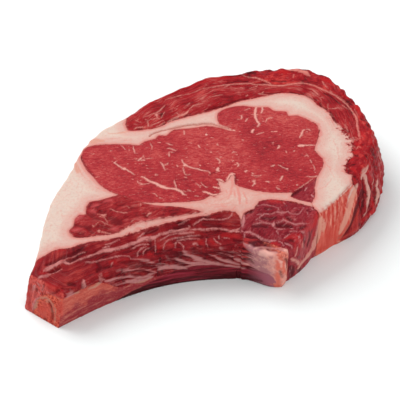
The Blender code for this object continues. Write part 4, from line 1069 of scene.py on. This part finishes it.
# The fat that parts the muscles: the cover at the tail, the ring round the eye, and the kernel
# with its thin arms. Waxy and cream, pinker where it is thin, and bloody on the wall by the spine.
fat_marks = {"crease": [
    (0.9, [(-3.9, 42.5), (-1.4, 43.2), (1.4, 43.3), (4.4, 42.6), (7.8, 41.5), (10.5, 40.3),
        (13.9, 39.2), (17.3, 38.1), (20.6, 36.7), (23.5, 35), (26.7, 33.5), (29.5, 31.6), (31.5, 29.4),
        (33.1, 26.8), (34.8, 24.3), (36.6, 21.9), (37.7, 19.7)]),
], "sheet": [
    (3.0, [(-32.5, 59.9), (-29, 58), (-26.5, 54.7)]), (2.4, [(-32.9, 58.3), (-30, 56.5)]),
    (2.6, [(-47.3, 50.6), (-49.6, 47.6), (-51.1, 43.6)]), (1.6, [(-47.8, 47.8), (-49.9, 43.6)]),
    (1.6, [(-21.5, 58.1), (-16.5, 55.3), (-11.3, 52.8)]),
], "vein": [
    (0.7, [(-44.9, 51.8), (-47, 45.4), (-48, 39.3), (-47.9, 33.3), (-47.8, 29.4)]),
    (0.5, [(-47.8, 48.8), (-49.8, 42.6), (-50.2, 37)]),
    (0.7, [(-49.1, 28.4), (-48.2, 24.8), (-46.6, 21.2)]),
    (0.5, [(-25.5, 56.2), (-21.7, 53.6), (-17, 50.5)]),
    (0.5, [(-23.1, 51.5), (-17.2, 48.2), (-13, 44.3)]),
    (0.6, [(-59.7, 22.4, 30.7), (-61.7, 21.2, 30.6), (-61.3, 18.9, 29.8)]),
    (2.0, [(15, -10.6), (11.4, -16), (6.3, -21.3), (2.2, -24.1)]),
    (2.2, [(13.4, -17.3), (9.8, -23.9), (5.3, -30.8)]), (1.4, [(9.1, -20.4), (5.7, -25.7)]),
    (1.4, [(12.2, -24.4), (10.6, -29.2), (8.4, -33)]),
    (0.7, [(4.1, -22.5), (-0.3, -22.1), (-4.7, -20.7)]),
    (0.7, [(2.2, -26.9), (-2.7, -25.2), (-8.1, -21.7)]),
    (1.0, [(-0.1, -29), (-2.5, -26.7), (-6.8, -24.4)]),
    (0.7, [(-13.4, -16), (-9.7, -18.4), (-6.6, -21.4)]),
    (0.8, [(16.2, -23.7), (18.6, -26.8), (21.2, -29.8)]), (0.8, [(5.6, -17.7), (4.6, -20.9)]),
    (1.0, [(5.4, -33.3, 34.5), (4.5, -36.4, 33), (1.8, -37.4, 31.5)]),
    (0.6, [(14.2, -29.9), (19.8, -31.6), (24.7, -34.1)]),
    (1.0, [(2.8, -30.5), (0.2, -31.3), (-3, -31.1)]), (0.7, [(76.2, 26.3), (83.1, 23.7), (87.7, 18.3)]),
    (0.6, [(92.3, 7.3), (90.6, -2.1), (86.7, -12.2)]),
    (0.6, [(78.5, -21.2), (75.5, -29.2), (70.7, -35.8)]),
    (0.7, [(63.3, -29.9), (62.6, -37.7), (59.2, -45.3)]),
    (0.7, [(46.3, -47.2), (51.7, -47.6), (58.3, -44.6)]),
]}
RING_RADIUS = 60  # mm, about, from the middle of the eye to the ring and the cap
soft_fat = meat("fat_between_muscles", ("640810", "8E141A", "B44440"), wide=1.0, long=7.0, flecks_and_glints=0.0,
                threads=0.0, vein="D0847A", flush="B4372E", sheet="CC8E7C")
for node in FAT_NODES:
    piece = fine_copy(node)
    points, found = mark(piece, fat_marks, spine_side_marks)
    rise = 0.3 * lumps(points, (9, 9, 30), 1.0) + 0.18 * lumps(points, (3.5, 3.5, 14), 5.0)
    rise -= 0.45 * ease(-0.9, 0.3, found["crease"])
    out = 0.6 * lumps(points, (6, 6, 16), 2.0) + 0.5 * ease(-1, 0.3, found["sheet"])
    shape(piece, points, rise=rise, out=out, rounding=1.8)
    x, y, z = points.T
    stain = ease(5, -20, y) * ease(15, 30, x)
    pinker = {"kernel_fat": 0.17, "seam_fat": -0.02, "cover_fat": 0.0}[node]
    along, across, raw = points[:, :2] @ LONG_WAY, points[:, :2] @ SHORT_WAY, 0.0
    if node == "seam_fat":
        along = RING_RADIUS * np.arctan2(y - EYE_MIDDLE[1], x - EYE_MIDDLE[0])
        across = read(soft_inset_map, points)
        raw = ease(0, 2.0, x - 50.5 - 0.6 * z) * ease(-40, -48, y) * ease(34.5, 33, z)  # meat on its wall
    follow(piece, points, along, across, stain=stain, tone=pinker, lean=raw)
    dress(piece, soft_fat)


# The side muscle, below the eye at the tail: soft lobes of lean, parted by furrows, that bulge
# out of the cut face.
side_marks = {"vein": [
    (1.9, [(-58.7, 8.9), (-57.7, 7.5), (-56.5, 7.4)]), (0.8, [(-59.3, 11), (-58.7, 8.9)]),
    (0.9, [(-58.5, 7.3), (-58.4, 4.5), (-58.7, 2.1)]), (0.6, [(-60.1, 8.8), (-58.7, 7)]),
    (0.6, [(-62.1, 6.8), (-60.8, 4.8), (-60.3, 2.6), (-59, 0.6)]), (1.4, [(-66, 5.7), (-65.6, 4.4)]),
    (0.6, [(-65.2, 5), (-63.6, 5.4), (-62.6, 5)]), (2.5, [(-66, 1.3), (-65.1, 0.3)]),
    (1.2, [(-64.9, -0.4), (-63.1, -2.5), (-61, -4.2)]),
    (0.8, [(-52.4, 9.6), (-51.6, 6.9), (-49.9, 4.5), (-48.2, 2.2), (-46.5, 0.8)]),
    (0.7, [(-46.8, 6.2), (-44.5, 4.8), (-44.3, 3.1)]),
    (1.3, [(-39.4, -6.9), (-37.4, -6.9), (-36.6, -6.7)]), (0.8, [(-37.1, 3.1, 33), (-38.8, 0.2, 33.3)]),
    (0.9, [(-41.5, 12.1, 32.6), (-40, 10.4, 32.7), (-38.4, 8, 33), (-37.5, 5.4, 32.9),
        (-36.8, 3.5, 32.9)]), (0.6, [(-48.6, -5.1), (-46, -5.1)]),
], "crease": [
    (1.8, [(-69.7, 8.9), (-68.8, 6.3), (-69.1, 4), (-68.4, 1.1)]),
    (1.0, [(-63.2, 15), (-62.7, 11.8), (-61.7, 9.3), (-61.3, 7)]),
    (1.0, [(-72.8, 13.2), (-71.2, 10.5), (-69.9, 8.6)]),
    (2.0, [(-64.7, 3.7), (-62.7, 2.9), (-61.6, 0.7), (-60.1, -1)]),
    (3.2, [(-56.4, 5.5), (-55.5, 2.9), (-54.4, 0.7), (-52.8, -1.8)]),
    (2.0, [(-57.1, 1.6), (-55.4, -0.7), (-52.7, -2.5)]),
    (1.0, [(-77.2, 6.3), (-75.5, 4.1), (-72.8, 2.3), (-70.5, 1.9)]),
    (2.0, [(-75.5, 6.9), (-72.6, 4.5)]), (1.1, [(-58.1, 11.8), (-56.9, 9.7), (-55.7, 9.5)]),
    (0.9, [(-62.1, 13.7), (-60.5, 11.1)]),
    (0.9, [(-62.5, -1.7, 30.3), (-60.2, -3.9, 30.1), (-57.4, -5.5, 30), (-54.7, -6.3, 30.1),
        (-50.9, -7.4, 30.7), (-48.5, -7.7, 31)]), (1.0, [(-40.2, -4.4), (-40.6, -5.8), (-39.9, -7.7)]),
    (1.0, [(-47.4, 9.2), (-44.7, 7.4)]), (1.0, [(-15.4, -18.8), (-11.4, -21.5)]),
], "flush": [
    (2.4, [(-71.5, 15.3, 28.9), (-68.9, 15.3, 29.6), (-65.9, 15.9, 29.7)]),
    (2.2, [(-75.6, 10.8), (-74, 9.2), (-72.1, 8.2)]), (2.0, [(-58.9, 17.6), (-55.6, 16.5)]),
    (2.0, [(-59.1, -2.4), (-56.5, -4.2)]), (1.6, [(-51.4, 16), (-47.7, 14.7)]),
    (1.4, [(-45.1, -5.6, 32.2), (-40.6, -8.7, 32.3), (-36.1, -11.6, 32.2)]),
    (1.8, [(-33.7, -2.5, 33.3), (-28.3, -8, 33.8)]), (2.0, [(-60.9, 15.5), (-60.1, 12.7)]),
]}
# Its bright spots are mostly painted highlights on the crowns of its lobes.
side_lean = meat("side_muscle_lean", ("5E0A12", "8E161D", "BC4A46"), wide=1.0, long=4.0, flecks_and_glints=0.3,
                 threads=0.2, flush="B8484A", crease="6A0C14")
side = fine_copy("side_muscle", grain=0.6)
points, found = mark(side, side_marks)
rise = 0.5 * lumps(points, (6, 5, 14), 3.0) + 0.25 * lumps(points, (3, 2.2, 14), 7.0)
rise += 0.3 - 0.6 * ease(-2.0, 0.4, found["crease"])
shape(side, points, rise=rise, out=0.6 * lumps(points, (6, 6, 16), 2.0))
follow(side, points, 0.95 * points[:, 0] - 0.3 * points[:, 1], 0.3 * points[:, 0] + 0.95 * points[:, 1])
dress(side, side_lean)


# The cap: three bands of coarse, soft muscle round the ring of fat, with streaks along the curve.
# At the right its outer edge is torn into nodules, with painted shade in the hollows between them.
# A patchy pale film lies over its far wall.
cap_marks = {"vein": [
    (1.1, [(8, 56.8), (10.4, 56.1), (11.8, 56.2), (13.7, 56.9), (16.4, 57.7), (18.4, 58.6)]),
    (2.4, [(8.9, 55.1), (10.3, 54.1)]), (0.8, [(2.9, 57.4), (5.9, 56.7), (8.5, 56.4)]),
    (0.9, [(4.5, 53.6), (7.3, 52.6), (9.4, 50.7)]), (1.0, [(9.9, 54.4), (8, 51.7)]),
    (0.7, [(10.3, 51.1), (13.2, 53.1), (15.3, 54.2)]), (0.6, [(2.1, 55.3), (3.1, 53.6), (4.9, 53.3)]),
    (1.1, [(2.6, 53.4), (1.4, 51.5), (0.2, 49.6)]), (0.7, [(-2.6, 58.5), (-1.8, 55.6), (-0.7, 54.3)]),
    (0.6, [(-5, 56.1), (-3.4, 54.3)]), (1.0, [(-7.3, 52.6), (-5.2, 52.8), (-2.6, 51.4), (-0.5, 49.6)]),
    (1.5, [(11.3, 46.4), (12.9, 46.7), (15.7, 46.7), (19, 46.4), (22.1, 46.7), (24.9, 46.7),
        (27.5, 47.3)]), (0.9, [(1.3, 49), (4.7, 49), (7.5, 49), (10.6, 48.5)]),
    (0.9, [(4, 47), (7.5, 46.9), (10.5, 47.3)]),
    (1.0, [(27.9, 48), (31.2, 48.6), (34.3, 48), (37.8, 46.8)]),
    (2.2, [(20.9, 46.1), (23.2, 46.4), (26.3, 46.7)]),
    (0.9, [(20.3, 50.2), (20.3, 48.3), (20.9, 46.1)]), (1.0, [(28, 51), (30.4, 51.4), (31.4, 51.8)]),
    (0.8, [(21.9, 63.6), (25.2, 62.2), (27.9, 61.9), (30.8, 60.9), (34.1, 59.6), (36.5, 58.9)]),
    (0.8, [(36.5, 58.9), (40.4, 58.3), (44.6, 58.1), (48.2, 57.1)]),
    (1.1, [(38.3, 50.5), (40.8, 51.4)]), (0.9, [(44.3, 48.8), (47.2, 47.8), (50.9, 46.9)]),
    (1.3, [(48.2, 57.1), (50.6, 55.3), (53.7, 54.6), (56.1, 53.9), (59.2, 52.1), (62.4, 50.5),
        (65.3, 48.6), (68.4, 46.8), (70.3, 45.4), (72.6, 42.6), (75.5, 40.5)]),
    (1.7, [(72.6, 42.6), (75.5, 40.5), (78.3, 38.5), (80.4, 36.4), (82.4, 34.2), (84.8, 32.5),
        (88.2, 32), (91.2, 30.1), (94.1, 28.1), (96.9, 26), (98.8, 23.6), (100.1, 20.5)]),
    (1.6, [(98.8, 23.6), (100.1, 20.5), (101.3, 17.4), (102.5, 14.3), (103.5, 10.8), (104.4, 7.4),
        (104.6, 4), (104.8, 0.6), (104.5, -3.4), (103.9, -6.8), (102.8, -9.9)]),
    (1.7, [(103.9, -6.8), (102.8, -9.9), (102, -12.6), (100.9, -15.2), (99, -17.9), (97, -20.7),
        (94.7, -24.3), (91.3, -29.1)]), (0.8, [(55.7, 51.4), (58.7, 51.6), (61.2, 50.9)]),
    (0.8, [(63.5, 46.1), (64.6, 43.8)]), (0.8, [(67.1, 42.1), (70.4, 41.6), (72.9, 41.1)]),
    (1.8, [(71.3, 54.6, 34.7), (72.4, 52.1, 34.7), (73.9, 50.1, 34.6), (76.2, 47.3, 34.6),
        (78.2, 44.1, 34.6), (79.5, 40.9, 34.6), (79.9, 38.6, 34.5), (80.8, 36.8, 34.5)]),
    (1.0, [(68.9, 35.8), (70.5, 34.2), (72.5, 34.8)]),
    (1.0, [(68.8, 34.9), (70.3, 33), (72.1, 31.4), (71.7, 30)]), (0.9, [(61.4, 37.6), (63.1, 37.9)]),
    (0.6, [(74.6, 36.5), (76.4, 36), (78.3, 34.6)]), (0.7, [(86.1, 36), (87.5, 34.9)]),
    (0.9, [(96.5, 36.8), (93.8, 34.3)]),
    (3.0, [(91.3, 46.4), (95.6, 43.3), (99.3, 39.3), (101.8, 34.8), (103.4, 30.2)]),
    (0.8, [(92.6, 30), (96, 27.7), (98.3, 24.9)]), (1.1, [(96.4, 19.2), (96.2, 15.8), (96, 12.7)]),
    (0.8, [(94.4, 17.3), (94.1, 14.1)]),
    (1.1, [(105.9, 22.2), (105.2, 19.4), (104.6, 16.8), (104.7, 15.1)]),
    (1.2, [(104.6, 13.1), (104.1, 9.7), (104.1, 8.8)]),
    (1.0, [(93.2, 1.1), (95.6, -0.5), (98.6, -2.2), (99.8, -3.6)]), (0.8, [(95.8, 4.3), (93.2, 1.1)]),
    (0.7, [(101.9, -1.1), (102.2, -4.3), (102.7, -6.5)]),
    (0.6, [(105.6, 5.2), (105.8, 1.8), (105.6, -2.1)]),
    (0.7, [(105.9, -8), (104.4, -11.5), (102.4, -14.3)]),
    (1.0, [(86.6, -27.3), (88.8, -28.1), (89.1, -29.6)]), (0.9, [(84.5, -30.7), (84.5, -33.3)]),
    (0.8, [(88.9, -25.5), (90.1, -27.5), (90.5, -29.6)]),
    (0.9, [(86.2, -40.7, 34.8), (88.5, -41.5, 34.5), (90.2, -41.6, 32.4)]),
    (1.0, [(84.3, -34.3), (87.1, -33.6), (87.5, -35)]),
], "crease": [
    (0.9, [(13.2, 54.1), (10.8, 51.7)]), (0.9, [(12, 46.4), (14.8, 46.4), (18.5, 45.6)]),
    (0.9, [(22.1, 44.9), (26.2, 44.6)]), (1.3, [(8.5, 46.5, 34.6), (9.9, 45.4, 34.4)]),
    (0.7, [(-5.3, 51.5), (-3, 49.9)]),
    (0.8, [(34.7, 41.6), (37.8, 40.9), (40.9, 40.3), (45.3, 39.3), (49.1, 38.7), (53, 38),
        (56.9, 37.4), (61.5, 35.8)]), (0.8, [(76.9, 42.4), (78.7, 40)]),
    (0.9, [(82.4, 39.9), (85.6, 37.3), (88.7, 34.5)]), (0.8, [(73.5, 32.3), (76.9, 29.9), (79.8, 29)]),
    (0.8, [(84.9, 25.9), (86.6, 22.5), (88, 20.4), (90.3, 19.6)]),
    (0.8, [(90.7, 17.3), (91.2, 14.2), (92.9, 10.9)]), (0.9, [(92.8, 7.9), (91.6, 4.7), (92.5, 1.2)]),
    (0.9, [(92.5, -1.5), (91.2, -5.8), (89.8, -11.1)]),
    (0.9, [(89.4, -17), (90.2, -18.6), (90.5, -20.9)]), (1.1, [(80.9, -37.6), (81.5, -39.4)]),
    (0.9, [(82, -32.9), (83.1, -34.9)]), (1.1, [(67.2, -41.8), (68.3, -43.9)]),
    (1.0, [(103.9, -16.5), (103.8, -19.3)]), (0.9, [(104, -21.6), (102.3, -25.9)]),
    (1.0, [(85.7, -41.4), (85.2, -43.7)]), (0.8, [(60.6, 54), (66, 51.4), (70.5, 47.7)]),
    (0.8, [(100.2, 13.3), (101.3, 9.1), (101.9, 4.4), (102, 0)]),
# Along the outer rim these bright spots are painted highlights.
], "flush": [
    (2.2, [(5.8, 64.7), (11, 65.2), (17.2, 65.9), (23, 66.1)]),
    (2.0, [(37.9, 64.9), (42.9, 63.8), (48.3, 63.1), (54.3, 61.4), (59.7, 58.8), (65.7, 55),
        (70.5, 52.5)]), (1.6, [(42.4, 65), (45, 62.6)]),
    (1.8, [(87.3, 46.2), (90.7, 42.8), (95.2, 38.9)]),
    (2.0, [(107.1, 23.6), (108.9, 20.2), (109.1, 15.8)]), (2.0, [(110.7, 10.4), (111, 7.5)]),
    (1.6, [(109.6, 5.4), (109.3, 1.4)]), (1.8, [(109, -3.5), (107.4, -8), (105.8, -12.5)]),
    (1.5, [(96.2, -24.6), (93.7, -30.2)]), (1.8, [(87.4, -31.6), (87, -34.6)]),
    (1.8, [(81.2, -34.6, 34.4), (83.2, -36.6, 34.8)]), (2.0, [(75, -39.3, 34.5), (77.2, -40.2, 34.8)]),
    (1.8, [(72.2, -43.5), (72.3, -47.7)]), (1.5, [(101.4, -27.8), (98.5, -33), (95.1, -36.5)]),
    (2.6, [(60.3, -52.6), (62.6, -52.3), (65.1, -52)]), (1.2, [(67.6, -50.7), (68.3, -52.6)]),
]}
cap_lean = meat("cap_lean", ("6A0912", "96131C", "BC4641"), wide=0.8, long=8.0, flecks_and_glints=0.5,
                threads=0.4, film=0.9, sheet="C89A8C")
edge_lean = meat("cap_edge_lean", ("4C0309", "94101A", "C63E38"), wide=1.5, long=2.0, patchy=1.0,
                 flecks_and_glints=0.6, threads=0.0, film=0.9, vein="D07A70", flush="B4181C", sheet="CC9A8E")
for node in ["cap_muscle", "outer_cap_muscle", "edge_cap_muscle"]:
    piece = fine_copy(node)
    points = places(piece)
    torn_edge = 0.0 if node == "cap_muscle" else ease(62, 85, points[:, 0])
    near_rim = ease(11, 3, read(inset_map, points)) * torn_edge
    nodules = lumps(points, (4.5, 4.5, 6), 5.0)
    # Hollows between the nodules are creases, so they get painted shade.
    hollows = -4 + near_rim * (3.4 - 5 * ease(-0.45, 0.0, nodules))
    points, found = mark(piece, cap_marks, spine_side_marks, hollows=hollows)
    along = RING_RADIUS * np.arctan2(points[:, 1], points[:, 0] - EYE_MIDDLE[0])
    across = read(soft_inset_map, points)
    ridges = lumps(np.stack([along / 9, across / 2.0, points[:, 2] / 9], axis=1), 1, 2.0)
    rise = 0.4 * ridges + 0.45 * lumps(points, (7, 7, 16), 6.0) - 0.6 * ease(-1.0, 0.3, found["crease"])
    rise += 0.9 * near_rim * nodules
    rough = 1.2 * nodules + 0.5 * lumps(points, 2.2, 8.0)
    out = 0.6 * lumps(points, (7, 7, 12), 2.0) + near_rim * rough
    out += 0.6 * ease(-1, 0.3, found["sheet"]) - 0.6 * ease(-1.0, 0.3, found["crease"])
    shape(piece, points, rise=rise, out=out, rounding=2.2)
    follow(piece, points, along, across)
    dress(piece, edge_lean if node == "edge_cap_muscle" else cap_lean)


# Floor, light and camera: a plain white table, a large soft light behind the steak, a weaker one
# in front, and a long lens that looks down at 45 degrees.
bpy.ops.object.select_all(action="DESELECT")
bpy.ops.mesh.primitive_plane_add(size=6, location=(0, 0, 0))
floor = bpy.context.object
floor.name = "floor"
white, tree = new_tree("floor_white")  # matt paint, with a cool tinge
matt = add(tree, "BsdfPrincipled", {
    "Base Color": (0.84, 0.88, 0.88, 1), "Roughness": 0.95, "Specular IOR Level": 0.2})
add(tree, "OutputMaterial", {"Surface": matt})
floor.data.materials.append(white)

sky = bpy.data.worlds.new("sky")
bpy.context.scene.world = sky
sky.use_nodes = True
sky.node_tree.nodes["Background"].inputs["Color"].default_value = (1, 1, 1, 1)
sky.node_tree.nodes["Background"].inputs["Strength"].default_value = 0.75
lamps = [("softbox", (-0.25, 0.95, 1.15), 1.0, 17), ("fill", (0.35, -1.15, 0.5), 0.8, 4.5)]
for name, spot, size, power in lamps:
    lamp = bpy.data.lights.new(name, "AREA")
    lamp.size = size
    lamp.energy = power
    lit = bpy.data.objects.new(name, lamp)
    bpy.context.collection.objects.link(lit)
    lit.location = spot
    lit.rotation_euler = (-Vector(spot)).to_track_quat("-Z", "Y").to_euler()

turn, tilt, away = math.radians(-36), math.radians(45), 0.855
view = Vector((-math.sin(turn) * math.cos(tilt), math.cos(turn) * math.cos(tilt), -math.sin(tilt)))
lens = bpy.data.cameras.new("camera")
lens.sensor_width = 36
lens.lens = 133.65  # mm, so that the picture is 0.23 m wide at the steak
lens.clip_start = 0.01
camera = bpy.data.objects.new("camera", lens)
bpy.context.collection.objects.link(camera)
looked_at = Vector((0.010033, 0.012541, 0))
camera.location = looked_at - view * away
camera.rotation_euler = view.to_track_quat("-Z", "Y").to_euler()
bpy.context.scene.camera = camera
bpy.context.scene.view_settings.view_transform = "Standard"
